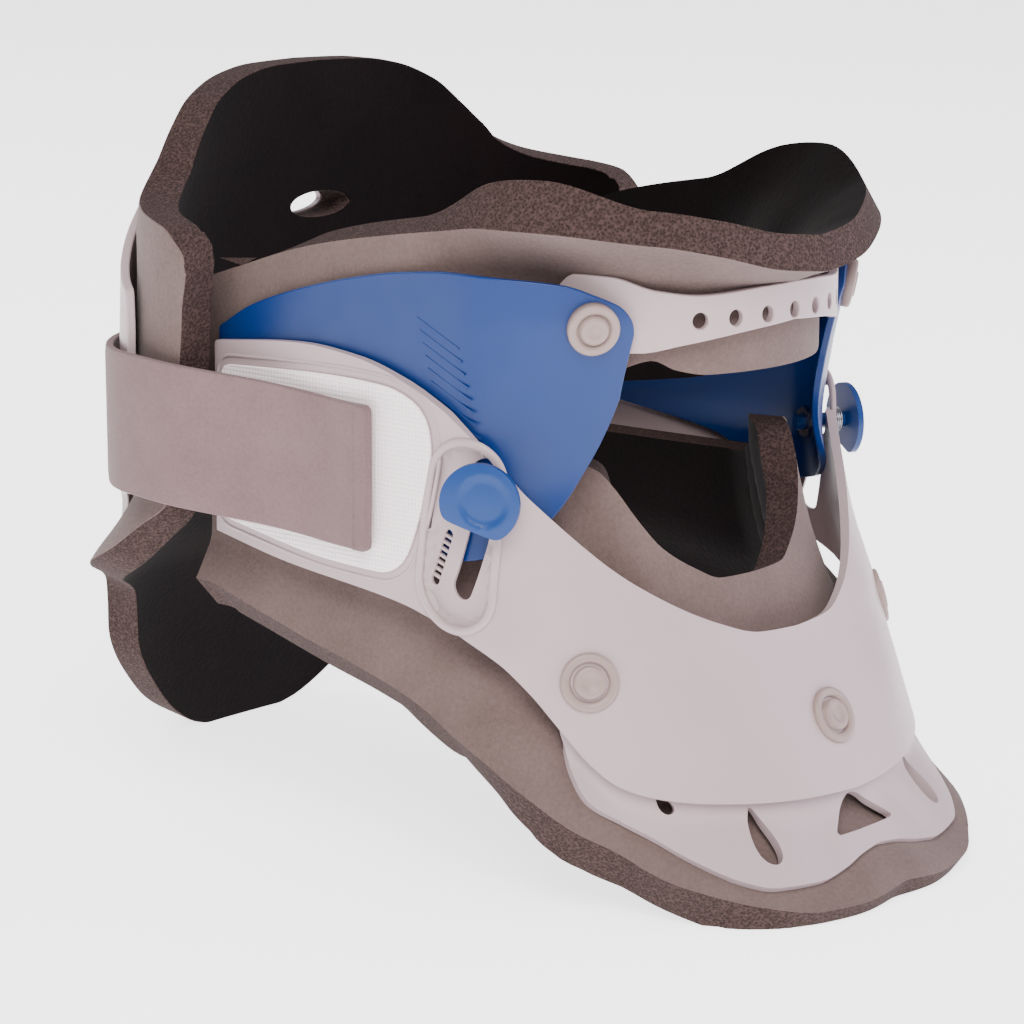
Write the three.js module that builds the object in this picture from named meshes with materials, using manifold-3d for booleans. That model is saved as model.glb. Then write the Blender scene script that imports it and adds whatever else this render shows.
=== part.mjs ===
// Two-piece rigid neck collar with a height-adjustable chin support.
//
// The solids are drawn as the collar is worn, in millimetres: +Z is up, the chin faces -Y, the
// wearer's right is -X, and X = 0 is the plane of symmetry. At the end the whole collar is
// pitched a little, so that it stands on its chest pad and on the tail of its back pad, and
// moved so that the origin is under the middle of its box.
import * as THREE from 'three';
import { mergeVertices } from 'three/addons/utils/BufferGeometryUtils.js';
import Module from 'manifold-3d';

const wasm = await Module();
wasm.setup();

// ---- driving dimensions, mm ----
const WING_END = 84;            // Y where the rigid front wings stop
const FOAM_END = 93;            // Y where the front foam stops, inside the back section
const FOAM = 9;                 // foam thickness
const SHELL = 2.4;              // front shell wall
const PLATE_TOP = 3.1;          // depth of the sliding plates' outer face below the shell's
const PLATE = 1.9;              // sliding plate thickness
const FLAP_TOP = 2.8;           // depth of the chest flap under the shell
const FLAP = 1.9;
const CHEST_PAD_TOP = 7.2;      // depth of the chest pad's outer face
const BACK_FOAM = 10;
const BACK_SHELL = 2.4;
const FIT = 1.5;                // gap between the back foam and its shell
const PIVOT = { y: 78, z: 118 };         // hinge of the blue plates
const SLOT_RADIUS = 83;                  // from the pivot to the button
const BUTTON_ANGLE = 6.7;                // degrees below the pivot, at rest
const SLOT_ANGLES = [2.8, 22.6];         // degrees below the pivot, ends of the slot's centre line
const SLOT_WIDTH = 9;                    // seen along X; the stem crosses the wall at a slant
const STEM = 3.8;                        // button stem diameter
const KNOB = 20;                         // button head diameter
const KNOB_GAP = 6.2;                    // under the head: the wall swells towards the slot's foot
const CHIN_AXIS = { y: -22.3, z: 149 };  // hinge of the chin band
const CHIN_STATION = 0.55;               // where its rivets are
const HEM = 0.55;                        // how steeply the flap and the chest pad flare out
const BACK_CENTRE = 70;                  // Y of the middle of the back section's plan
const STRAP = 36;                        // strap width
const STRAP_THICK = 2;
const PITCH = THREE.MathUtils.degToRad(-1.6);   // worn pose to standing pose

const SIDES = [{ name: 'right', sign: -1 }, { name: 'left', sign: 1 }];

const material = (color, roughness, metalness = 0) =>
  new THREE.MeshStandardMaterial({ color, roughness, metalness });
const LOOKS = {
  shell: material(0xcbc5cc, 0.42),
  blue: material(0x1463a8, 0.35),
  foam: material(0x837b7a, 0.95),
  velvet: material(0x241a1a, 1.0),
  strap: material(0xa0908f, 0.9),
  hook: material(0xe4dde0, 0.85),
  rivet: material(0xcfc5be, 0.4),
  steel: material(0xb9b9bd, 0.3, 1),
};

// ---- small maths ----

// Smooth curve through points [t, value]: a monotone cubic, held flat outside its ends.
function profile(points) {
  const slopes = points.slice(1).map((p, i) => (p[1] - points[i][1]) / (p[0] - points[i][0]));
  const tangents = points.map((p, i) => {
    if (i === 0) return slopes[0];
    if (i === points.length - 1) return slopes[i - 1];
    const [a, b] = [slopes[i - 1], slopes[i]];
    return a * b <= 0 ? 0 : (2 * a * b) / (a + b);
  });
  return (t) => {
    const last = points.length - 1;
    if (t <= points[0][0]) return points[0][1];
    if (t >= points[last][0]) return points[last][1];
    const i = points.findIndex((p) => p[0] > t) - 1;
    const step = points[i + 1][0] - points[i][0];
    const s = (t - points[i][0]) / step;
    const rise = points[i + 1][1] - points[i][1];
    const bend = s * (1 - s) * ((1 - s) * (tangents[i] * step - rise) - s * (tangents[i + 1] * step - rise));
    return points[i][1] + rise * s + bend;
  };
}

const smooth = (t) => {
  const s = Math.min(1, Math.max(0, t));
  return s * s * (3 - 2 * s);
};
const mix = (a, b, t) => a + (b - a) * t;
const radians = THREE.MathUtils.degToRad;

// ---- surfaces ----
// Station u runs round the front of the collar: 0 on the chin line, 1 where the side begins,
// 2 at Y = 92. Negative u is the wearer's right.

const STATION_TWO = 92;
const wallHalf = profile([[0, 82], [15, 80], [30, 77], [48, 74.5], [72, 73.5], [90, 72], [110, 71.5]]);
const wallFront = profile([[0, -77], [15, -73], [30, -67], [50, -58], [70, -47], [95, -36],
  [112, -32], [132, -36.5], [150, -42.5]]);
const wallTurn = profile([[72, 0], [90, 4], [110, 6], [160, 4]]);

function station(u, half, turn, front) {
  const side = Math.sign(u) || 1;
  const a = Math.abs(u);
  if (a > 1) return [side * half, turn + (a - 1) * (STATION_TWO - turn)];
  const angle = (a * Math.PI) / 2;
  return [side * half * Math.sin(angle), turn - (turn - front) * Math.cos(angle)];
}

// Outer face of the front shell, and layers at a depth inside it.
const wall = (u, z, depth) => station(u, wallHalf(z) - depth, wallTurn(z), wallFront(z) + 1.15 * depth);

// Station of the wall's point at a given Y, ahead of the turn.
function wallStation(y, z) {
  const turn = wallTurn(z);
  return (Math.acos((turn - y) / (turn - wallFront(z))) * 2) / Math.PI;
}

// Chin band, and the foam that lines the jaw: its rim leans out over the band.
const BAND = { half: 51.5, turn: 4, front: -44 };
const bandWall = (u, z, depth) => station(u, BAND.half - depth, BAND.turn, BAND.front + depth);

const FOAM_RIM = { half: 66, front: -55, foot: 159, top: 176 };
function foamWall(u, z, depth) {
  const lean = smooth((z - FOAM_RIM.foot) / (FOAM_RIM.top - FOAM_RIM.foot));
  const beside = mix(47.3, 65.4, smooth((Math.abs(u) - 0.73) / 0.53));
  const half = mix(beside, FOAM_RIM.half, lean);
  const front = mix(-39.6, FOAM_RIM.front, lean);
  return station(u, half - depth, 5, front + depth);
}

// Back section: a superellipse about (0, BACK_CENTRE); station is degrees from the nape line.
const backHalf = profile([[60, 92], [76, 92.5], [101, 86], [138, 86], [165, 90]]);
const backReach = profile([[14, 89], [50, 80], [72, 71], [86, 61.5], [99, 56]]);
const backPower = profile([[14, 2.6], [70, 3.7], [98, 3], [136, 3], [160, 2.6], [180, 2.3]]);
function backWall(degrees, z, depth) {
  const angle = radians(degrees);
  const n = backPower(z);
  const across = Math.abs(Math.sin(angle)) / (backHalf(z) - depth);
  const along = Math.abs(Math.cos(angle)) / (backReach(z) - depth);
  const r = (across ** n + along ** n) ** (-1 / n);
  return [r * Math.sin(angle), BACK_CENTRE + r * Math.cos(angle)];
}

// ---- making solids ----

// Closed sheet on a surface between two edges: low(s) and high(s) give Z at station s.
function panel({ surface, from, to, low, high, depth, thick, columns, rows }) {
  const box = new THREE.BoxGeometry(1, 1, 1, columns, rows, 1);
  const place = box.attributes.position;
  for (let i = 0; i < place.count; i += 1) {
    const s = mix(from, to, place.getX(i) + 0.5);
    const z = mix(low(s), high(s), place.getY(i) + 0.5);
    const inside = place.getZ(i) > 0 ? depth : depth + thick;
    const [x, y] = surface(s, z, inside);
    place.setXYZ(i, x, y, z);
  }
  return solid(box);
}

// A geometry as a manifold solid with its faces out.
function solid(geometry) {
  const bare = new THREE.BufferGeometry();
  bare.setAttribute('position', geometry.attributes.position.clone());
  if (geometry.index) bare.setIndex(geometry.index.clone());
  const merged = mergeVertices(bare, 1e-4);
  const vertProperties = new Float32Array(merged.attributes.position.array);
  let triVerts = new Uint32Array(merged.index.array);
  const whole = [];
  for (let i = 0; i < triVerts.length; i += 3) {
    const [a, b, c] = triVerts.slice(i, i + 3);
    if (a !== b && b !== c && c !== a) whole.push(a, b, c);
  }
  triVerts = new Uint32Array(whole);
  if (volume(vertProperties, triVerts) < 0) triVerts.reverse();
  return new wasm.Manifold(new wasm.Mesh({ numProp: 3, vertProperties, triVerts }));
}

function volume(points, triangles) {
  const corner = (i) => new THREE.Vector3().fromArray(points, 3 * i);
  let sum = 0;
  for (let i = 0; i < triangles.length; i += 3) {
    const [a, b, c] = [corner(triangles[i]), corner(triangles[i + 1]), corner(triangles[i + 2])];
    sum += a.dot(b.cross(c));
  }
  return sum / 6;
}

function geometryOf(body) {
  const { vertProperties, triVerts, numProp } = body.getMesh();
  const geometry = new THREE.BufferGeometry();
  const places = new Float32Array((vertProperties.length / numProp) * 3);
  for (let i = 0; i < places.length / 3; i += 1) {
    places.set(vertProperties.subarray(i * numProp, i * numProp + 3), 3 * i);
  }
  geometry.setAttribute('position', new THREE.BufferAttribute(places, 3));
  geometry.setIndex(new THREE.BufferAttribute(new Uint32Array(triVerts), 1));
  geometry.computeVertexNormals();
  return geometry;
}

// Turned piece: profile points [radius, height], axis along `axis` from `origin`.
function turned(points, origin, axis, segments = 16) {
  const lathe = new THREE.LatheGeometry(points.map(([r, h]) => new THREE.Vector2(r, h)), segments);
  const turn = new THREE.Quaternion().setFromUnitVectors(new THREE.Vector3(0, 1, 0), axis);
  lathe.applyQuaternion(turn);
  lathe.translate(origin.x, origin.y, origin.z);
  return solid(lathe);
}

const disc = (radius, from, to) => [[0, from], [radius, from], [radius, to], [0, to]];

// Prism with an outline in the Y-Z plane, from |X| = near to |X| = far on one side.
function sidePrism(outline, near, far, sign) {
  const shape = new THREE.Shape(outline.map(([y, z]) => new THREE.Vector2(y, z)));
  const prism = new THREE.ExtrudeGeometry(shape, { depth: far - near, bevelEnabled: false });
  const place = prism.attributes.position;
  for (let i = 0; i < place.count; i += 1) {
    place.setXYZ(i, sign * (near + place.getZ(i)), place.getX(i), place.getY(i));
  }
  return solid(prism);
}

// Prism with an outline in the X-Z plane, along Y.
function frontPrism(outline, from, to) {
  const shape = new THREE.Shape(outline.map(([x, z]) => new THREE.Vector2(x, z)));
  const prism = new THREE.ExtrudeGeometry(shape, { depth: to - from, bevelEnabled: false });
  const place = prism.attributes.position;
  for (let i = 0; i < place.count; i += 1) {
    place.setXYZ(i, place.getX(i), from + place.getZ(i), place.getY(i));
  }
  return solid(prism);
}

function oval(cx, cz, width, height, lean = 0, points = 12) {
  return Array.from({ length: points }, (_, i) => {
    const angle = (2 * Math.PI * i) / points;
    const [x, z] = [(width / 2) * Math.cos(angle), (height / 2) * Math.sin(angle)];
    return [cx + x * Math.cos(lean) - z * Math.sin(lean), cz + x * Math.sin(lean) + z * Math.cos(lean)];
  });
}

// Outline of a slot that follows the button round the pivot, in Y-Z.
function arcSlot(width, margin, teeth = 0) {
  const [start, end] = [SLOT_ANGLES[0] - margin, SLOT_ANGLES[1] + margin].map(radians);
  const at = (angle, r) => [PIVOT.y - r * Math.cos(angle), PIVOT.z - r * Math.sin(angle)];
  const steps = 8;
  const front = Array.from({ length: steps + 1 }, (_, i) => at(mix(start, end, i / steps), SLOT_RADIUS + width / 2));
  const rear = front.map((_, i) => at(mix(end, start, i / steps), SLOT_RADIUS - width / 2));
  if (teeth === 0) return [...front, ...rear];
  const pitch = 2.6 / SLOT_RADIUS;                    // ratchet teeth cut in the rear wall
  const toothed = [at(end, SLOT_RADIUS - width / 2)];
  for (let i = 0; i < teeth; i += 1) {
    const angle = end - radians(1) - i * pitch;
    toothed.push(at(angle, SLOT_RADIUS - width / 2 - 1.6), at(angle - pitch, SLOT_RADIUS - width / 2));
  }
  return [...front, ...toothed, at(start, SLOT_RADIUS - width / 2)];
}

// Point and outward direction of the wall at station u.
function onWall(u, z, surface = wall) {
  const [x, y] = surface(u, z, 0);
  const [x0, y0] = surface(u - 0.01, z, 0);
  const [x1, y1] = surface(u + 0.01, z, 0);
  const [x2, y2] = surface(u, z + 0.5, 0);
  const along = new THREE.Vector3(x1 - x0, y1 - y0, 0);
  const up = new THREE.Vector3(x2 - x, y2 - y, 0.5);
  const out = along.cross(up).normalize();
  if (out.dot(new THREE.Vector3(x, y - 40, 0)) < 0) out.negate();
  return { point: new THREE.Vector3(x, y, z), out };
}

const outset = (spot, distance) => spot.point.clone().addScaledVector(spot.out, distance);
const hole = (spot, radius, from = -14, to = 6) => turned(disc(radius, from, to), spot.point, spot.out, 14);
const minus = (body, cutters) => cutters.reduce((left, cutter) => left.subtract(cutter), body);

// ---- assembly ----

const worn = new THREE.Group();
function add(name, body, look) {
  const mesh = new THREE.Mesh(geometryOf(body), look);
  mesh.name = name;
  worn.add(mesh);
}

const both = (edge) => (u) => edge(Math.abs(u));
const wingEnd = 1 + (WING_END - 5) / (STATION_TWO - 5);
const foamEnd = 1 + (FOAM_END - 5) / (STATION_TWO - 5);

// Fasteners of the front: three rivets hold the chest flap.
const flapRivets = [
  { name: 'centre', spot: onWall(0, 50.6) },
  { name: 'right', spot: onWall(-0.597, 65.7) },
  { name: 'left', spot: onWall(0.597, 65.7) },
];
const SHANK = 2.6;
const pivotPoint = (sign) => ({
  point: new THREE.Vector3(sign * wallHalf(PIVOT.z), PIVOT.y, PIVOT.z),
  out: new THREE.Vector3(sign, 0, 0),
});

// Front shell: one moulding round the throat, cut for the buttons, rivets and hinge pins.
const shellTop = both(profile([
  [0, 71.5], [0.12, 72.2], [0.22, 75.6], [0.41, 86.5], [0.67, 108], [0.88, 122.4],
  [1.02, 129], [1.17, 134.5], [1.35, 138.5], [1.55, 140], [1.92, 137.5],
]));
const shellFoot = both(profile([
  [0, 33.7], [0.2, 34.8], [0.4, 36.9], [0.5, 38.7], [0.58, 41.7], [0.64, 47],
  [0.7, 55], [0.76, 62.5], [0.85, 69.5], [1.03, 76], [1.2, 80], [1.64, 84.5], [1.92, 89],
]));
const shellCuts = [
  ...SIDES.map(({ sign }) => sidePrism(arcSlot(SLOT_WIDTH, 0, 7), 55, 80, sign)),
  ...flapRivets.map(({ spot }) => hole(spot, SHANK + 0.4)),
  ...SIDES.map(({ sign }) => hole(pivotPoint(sign), 4.4)),
  ...SIDES.map(({ sign }) => hole(pivotPoint(sign), 6.4, -1.4, 6)),
];
add('front_shell', minus(panel({
  surface: wall, from: -wingEnd, to: wingEnd, low: shellFoot, high: shellTop,
  depth: 0, thick: SHELL, columns: 56, rows: 5,
}), shellCuts), LOOKS.shell);

// Below the shell's foot the flap and the chest pad flare outwards.
const hem = (u, z) => {
  const below = Math.max(0, shellFoot(u) - 4 - z);
  return (HEM * below * below) / (below + 2);
};

// Chest flap: two lobes, with a triangle and drop-shaped holes.
const flapFoot = both(profile([
  [0, 21], [0.05, 20.4], [0.12, 18.6], [0.2, 17.2], [0.29, 17.4], [0.36, 19.6], [0.42, 23],
  [0.46, 25.6], [0.52, 29.8], [0.585, 33.6], [0.65, 38], [0.686, 45], [0.705, 53],
]));
const flapTop = both(profile([[0, 60], [0.3, 62], [0.6, 76], [0.705, 73]]));
const dropOutline = (cx, cz, width, height, lean) => Array.from({ length: 16 }, (_, i) => {
  const angle = (2 * Math.PI * i) / 16;
  const narrow = 0.5 * (1 - Math.sin(angle)) * 0.72 + 0.28;
  const [x, z] = [(width / 2) * Math.cos(angle) * narrow, (height / 2) * Math.sin(angle)];
  return [cx + x * Math.cos(lean) - z * Math.sin(lean), cz + x * Math.sin(lean) + z * Math.cos(lean)];
});
const flapCuts = [
  frontPrism([[-12, 24.6], [0, 24.6], [12, 24.6], [2, 31.8], [-2, 31.8]], -95, -45),
  ...SIDES.map(({ sign }) => frontPrism(dropOutline(sign * 33, 27.5, 7.5, 12, 0), -95, -45)),
  ...SIDES.map(({ sign }) => frontPrism(dropOutline(sign * 52, 37, 4.2, 6, sign * -0.3), -85, -30)),
  ...flapRivets.map(({ spot }) => hole(spot, SHANK + 0.4)),
];
add('chest_flap', minus(panel({
  surface: (u, z, depth) => wall(u, z, depth - hem(u, z)), from: -0.705, to: 0.705,
  low: flapFoot, high: flapTop, depth: FLAP_TOP, thick: FLAP, columns: 30, rows: 5,
}), flapCuts), LOOKS.shell);

for (const { name, spot } of flapRivets) {
  const capFace = -(FLAP_TOP + FLAP + 0.5);
  add(`flap_rivet_${name}`, turned(
    [[0, capFace + 0.3], [SHANK, capFace + 0.3], [SHANK, 0.35], [7.2, 0.35], [7, 1.3], [4.3, 1.4], [4, 2.3], [0, 2.5]],
    spot.point, spot.out,
  ), LOOKS.rivet);
  add(`flap_rivet_cap_${name}`, turned(
    [[0, capFace - 1.4], [5.2, capFace - 1.4], [5.4, capFace], [0, capFace]],
    spot.point, spot.out,
  ), LOOKS.rivet);
}

// Chest pad: foam behind the shell and the flap, with room for the buttons' inner ends.
const chestTop = both(profile([
  [0, 83], [0.12, 83.4], [0.19, 86.5], [0.28, 92.5], [0.34, 100], [0.39, 107.5],
  [0.44, 112], [0.5, 113.5], [0.7, 110], [0.9, 104], [1.1, 100], [1.95, 99],
]));
const chestFoot = both(profile([
  [0, 11.5], [0.13, 10], [0.22, 10.2], [0.34, 13], [0.42, 16], [0.51, 19.6], [0.59, 24.6],
  [0.68, 30], [0.78, 38], [0.9, 46], [1.1, 54.5], [1.33, 60], [1.57, 64.5], [1.82, 70], [1.95, 73],
]));
const chestDepth = (u, z) => CHEST_PAD_TOP
  + 6.4 * smooth((z - 64) / 14) * smooth((Math.abs(u) - 0.34) / 0.2) * smooth((1.15 - Math.abs(u)) / 0.25);
add('chest_pad', minus(panel({
  surface: (u, z, depth) => wall(u, z, chestDepth(u, z) + depth - hem(u, z)), from: -foamEnd, to: foamEnd,
  low: chestFoot, high: chestTop, depth: 0, thick: FOAM, columns: 44, rows: 8,
}), SIDES.map(({ sign }) => sidePrism(arcSlot(17, 6), 57.5, 76, sign))), LOOKS.foam);

// Sides: everything that comes in a right and a left.
const patchTop = profile([[9.9, 120.5], [11, 125], [15, 129.6], [25.5, 132.8], [41.5, 133.4], [82, 132]]);
const patchFoot = profile([[9.9, 117], [14, 100.7], [19.2, 89.6], [25.3, 86.6], [41.5, 87.1], [82, 93]]);
const sideWall = (sign) => (y, z, depth) => [sign * (wallHalf(z) - depth), y];

const plateTop = profile([
  [0.4, 147], [0.43, 152.6], [0.54, 156.8], [0.64, 159.3], [0.8, 160.6], [1.03, 161.3],
  [1.22, 160], [1.4, 157.3], [1.6, 153], [1.8, 147], [1.92, 141],
]);
const plateFoot = profile([
  [0.4, 131], [0.43, 122], [0.46, 116.5], [0.54, 107.8], [0.7, 98], [0.85, 93.5],
  [1, 92], [1.15, 95], [1.3, 101], [1.6, 105], [1.92, 108],
]);
const jawTop = profile([
  [0, 168], [0.17, 170], [0.33, 174], [0.5, 177], [0.75, 178.5], [0.95, 177.5],
  [1.1, 174.8], [1.27, 171.5], [1.47, 167.5], [1.66, 163], [2, 153],
]);
const jawFoot = profile([[0.46, 141], [0.6, 137.5], [0.8, 131], [1, 125], [1.3, 117.5], [2, 109]]);

// Space the chin band sweeps; the plates' front ends are bevelled to stay out of it.
const chinSweep = (sign) => panel({
  surface: bandWall, from: sign * 0.3, to: sign * 0.9, low: () => 110, high: () => 170,
  depth: -1.7, thick: 8, columns: 10, rows: 1,
});
const plateDepth = (u) => PLATE_TOP + 1.2 * smooth((1.05 - u) / 0.35);
const knobRim = KNOB / 2;
const backStations = {
  top: both(profile([
    [0, 202], [18, 201.5], [34, 200], [47, 196], [54, 189], [59, 182.5], [62.5, 177.5],
    [66, 174.5], [72, 172], [78, 170], [82, 167.5], [86, 162],
  ])),
  foot: both(profile([
    [0, 14], [12, 17], [20, 23], [28.5, 35], [34, 46], [37.6, 58], [42, 67], [51, 73],
    [65, 82], [72, 90], [79, 98.5], [81.5, 128], [83, 145], [86, 157],
  ])),
};

// Straps: a band held on the back shell, and a tab that peels off the hook patch.
const STRAP_OUT = BACK_SHELL + FIT + 1.7;           // strap's inner face above the back foam
const bandEnd = 70;                                  // degrees, where the tab hinges
const strapMid = 117;
const strapPost = (sign) => {
  const [x, y] = backWall(sign * bandEnd, strapMid, -STRAP_OUT);
  return { x, y };
};
const tabEnd = 28;
const tabFace = 74.3;                                // |X| of the tab's inner face on the patch

function tabPath(sign) {
  const post = strapPost(sign);
  const points = [
    new THREE.Vector3(post.x, post.y - 1, 0),
    new THREE.Vector3(sign * 88.6, 91, 0),
    new THREE.Vector3(sign * 88.2, 82, 0),
    new THREE.Vector3(sign * 83.5, 71, 0),
    new THREE.Vector3(sign * 77, 59, 0),
    new THREE.Vector3(sign * tabFace, 48, 0),
    new THREE.Vector3(sign * tabFace, 38, 0),
    new THREE.Vector3(sign * tabFace, tabEnd, 0),
  ];
  const curve = new THREE.CatmullRomCurve3(points, false, 'centripetal');
  return (t, z, depth) => {
    const at = curve.getPoint(t);
    const tangent = curve.getTangent(t);
    return [at.x + sign * (wallHalf(z) - wallHalf(strapMid)) - depth * sign * tangent.y, at.y + depth * sign * tangent.x];
  };
}
const strapHoles = SIDES.flatMap(({ sign }) => [strapMid + 9, strapMid - 9].map((z) => (
  hole(onWall(sign * 30, z, backWall), 2.3, 0.1, 9)
)));
const tabMid = (t) => mix(strapMid, 110, smooth(t));

for (const { name, sign } of SIDES) {
  add(`hook_patch_${name}`, panel({
    surface: sideWall(sign), from: 9.9, to: 82, low: patchFoot, high: patchTop,
    depth: -1.3, thick: 1, columns: 12, rows: 3,
  }), LOOKS.hook);

  const pin = pivotPoint(sign);
  add(`hinge_pin_${name}`, turned(
    [[0, -7.2], [6, -7.2], [6.4, -5.6], [3.9, -5.6], [3.9, -1.1], [5.9, -1.1], [5.9, 0], [0, 0]],
    pin.point, pin.out,
  ), LOOKS.rivet);

  // Blue height plate: bored for the hinge pin, the button and the chin rivet.
  const buttonY = PIVOT.y - SLOT_RADIUS * Math.cos(radians(BUTTON_ANGLE));
  const buttonZ = PIVOT.z - SLOT_RADIUS * Math.sin(radians(BUTTON_ANGLE));
  const buttonAt = onWall(sign * wallStation(buttonY, buttonZ), buttonZ);
  buttonAt.out.setZ(0).normalize();
  const chin = onWall(sign * CHIN_STATION, CHIN_AXIS.z, (u, z, depth) => wall(u, z, plateDepth(0) + depth));
  add(`height_plate_${name}`, minus(panel({
    surface: (u, z, depth) => wall(sign * u, z, plateDepth(u) + depth), from: 0.4, to: wingEnd + 0.02,
    low: plateFoot, high: plateTop, depth: 0, thick: PLATE, columns: 22, rows: 4,
  }), [hole(pin, 4.3), hole(buttonAt, STEM / 2 + 0.5, -10, 10), hole(chin, 2.9), chinSweep(sign)]), LOOKS.blue);

  add(`chin_rivet_${name}`, turned(
    [[0, -13.1], [2.3, -13.1], [2.3, 0.4], [6.3, 0.4], [6.1, 1.2], [3.8, 1.4], [3.5, 2.2], [0, 2.3]],
    chin.point, chin.out,
  ), LOOKS.rivet);
  add(`chin_rivet_cap_${name}`, turned(
    [[0, -14.8], [4.4, -14.8], [4.6, -13.6], [0, -13.6]], chin.point, chin.out,
  ), LOOKS.rivet);

  // Button: dished head with a chord cut off, a stem through the slot, a spring and a clip.
  // Heights are from the shell's outer face, along the stem.
  const stem = STEM / 2;
  const clipAt = -(PLATE_TOP + PLATE + 1.2);
  const face = KNOB_GAP + 4.2;
  const knob = turned(
    [[0, clipAt - 1.2], [stem - 0.8, clipAt - 1.2], [stem - 0.8, clipAt], [stem, clipAt], [stem, face - 2.4],
      [3.6, face - 2.4], [3.6, KNOB_GAP], [knobRim - 0.8, KNOB_GAP], [knobRim, KNOB_GAP + 0.8],
      [knobRim, face - 1], [knobRim - 1, face], [6.6, face], [5, face - 1], [0, face - 0.7]],
    buttonAt.point, buttonAt.out, 24,
  );
  const chord = new THREE.BoxGeometry(2 * KNOB, KNOB, 4.6);
  chord.translate(0, -KNOB / 2 - 6.6, 0);
  chord.rotateZ(sign * -0.35);
  chord.applyQuaternion(new THREE.Quaternion().setFromRotationMatrix(
    new THREE.Matrix4().makeBasis(
      new THREE.Vector3().crossVectors(new THREE.Vector3(0, 0, 1), buttonAt.out),
      new THREE.Vector3(0, 0, 1),
      buttonAt.out,
    ),
  ));
  const chordAt = outset(buttonAt, KNOB_GAP + 2.1);
  chord.translate(chordAt.x, chordAt.y, chordAt.z);
  add(`button_${name}`, knob.subtract(solid(chord)), LOOKS.blue);
  const springFoot = -PLATE_TOP + 2.4;
  add(`button_spring_${name}`, turned(
    [[stem + 0.2, springFoot], [stem + 0.6, springFoot], [3.2, face - 2.7], [2.8, face - 2.7], [stem + 0.2, springFoot]],
    buttonAt.point, buttonAt.out, 14,
  ), LOOKS.steel);
  add(`button_clip_${name}`, turned(
    [[stem - 0.5, clipAt - 0.9], [4, clipAt - 0.9], [4, clipAt - 0.2], [stem - 0.5, clipAt - 0.2], [stem - 0.5, clipAt - 0.9]],
    buttonAt.point, buttonAt.out, 14,
  ), LOOKS.steel);

  // Jaw pad: foam on the inside of the height plate, bored round the hinge pin's head.
  add(`jaw_pad_${name}`, panel({
    surface: (u, z, depth) => foamWall(sign * u, z, depth), from: 0.46, to: foamEnd,
    low: jawFoot, high: jawTop, depth: 0, thick: FOAM, columns: 22, rows: 5,
  }).subtract(hole(pin, 8, -9, 0)).subtract(hole(chin, 7, -16, 0)), LOOKS.foam);

  // Strap band and tab.
  add(`strap_band_${name}`, minus(panel({
    surface: backWall, from: sign * 22, to: sign * bandEnd,
    low: () => strapMid - STRAP / 2, high: () => strapMid + STRAP / 2,
    depth: -STRAP_OUT - STRAP_THICK, thick: STRAP_THICK, columns: 12, rows: 1,
  }), strapHoles), LOOKS.strap);
  const path = tabPath(sign);
  add(`strap_tab_${name}`, panel({
    surface: path, from: 0, to: 1, low: (t) => tabMid(t) - STRAP / 2, high: (t) => tabMid(t) + STRAP / 2,
    depth: 0, thick: STRAP_THICK, columns: 18, rows: 1,
  }), LOOKS.strap);
  add(`strap_hook_${name}`, panel({
    surface: sideWall(sign), from: tabEnd + 1.5, to: 46, low: () => 95, high: () => 125.5,
    depth: -(tabFace - 0.35 - 71.5), thick: 0.7, columns: 1, rows: 4,
  }), LOOKS.hook);
  for (const [row, z] of [['upper', strapMid + 9], ['lower', strapMid - 9]]) {
    const spot = onWall(sign * 30, z, backWall);
    add(`strap_rivet_${name}_${row}`, turned(
      [[0, 0.4], [1.9, 0.4], [1.9, STRAP_OUT + STRAP_THICK + 0.5], [4.6, STRAP_OUT + STRAP_THICK + 0.5],
        [4.2, STRAP_OUT + STRAP_THICK + 1.6], [0, STRAP_OUT + STRAP_THICK + 2]],
      spot.point, spot.out, 14,
    ), LOOKS.rivet);
  }
}

// Chin band: a moulded bar from rivet to rivet, with a row of holes, and the pad it carries.
const bandTop = both(profile([[0, 157], [0.13, 156.7], [0.35, 155.6], [0.5, 157],
  [0.64, 160.3], [0.76, 160.8], [0.82, 157]]));
const bandFoot = both(profile([[0, 147.5], [0.18, 146.3], [0.41, 143.7], [0.55, 142], [0.7, 142], [0.82, 147]]));
const bandHoles = [-0.36, -0.24, -0.12, 0, 0.12, 0.24, 0.36].map((u) => {
  const spot = onWall(u, 151.5 - 1.5 * Math.abs(u), bandWall);
  return hole(spot, 1.9, -6, 4);
});
const rivetWays = SIDES.map(({ sign }) => {
  const spot = onWall(sign * CHIN_STATION, CHIN_AXIS.z, (u, z, depth) => wall(u, z, plateDepth(0) + depth));
  return hole(spot, 3.8, -12, 3);
});
add('chin_band', minus(panel({
  surface: bandWall, from: -0.82, to: 0.82, low: bandFoot, high: bandTop,
  depth: 0, thick: 2, columns: 28, rows: 2,
}), [...bandHoles, ...rivetWays]), LOOKS.shell);
add('chin_pad', panel({
  surface: (u, z, depth) => foamWall(u, z, depth), from: -0.4, to: 0.4,
  low: () => 141, high: both(jawTop), depth: 0, thick: FOAM, columns: 16, rows: 5,
}), LOOKS.foam);

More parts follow.
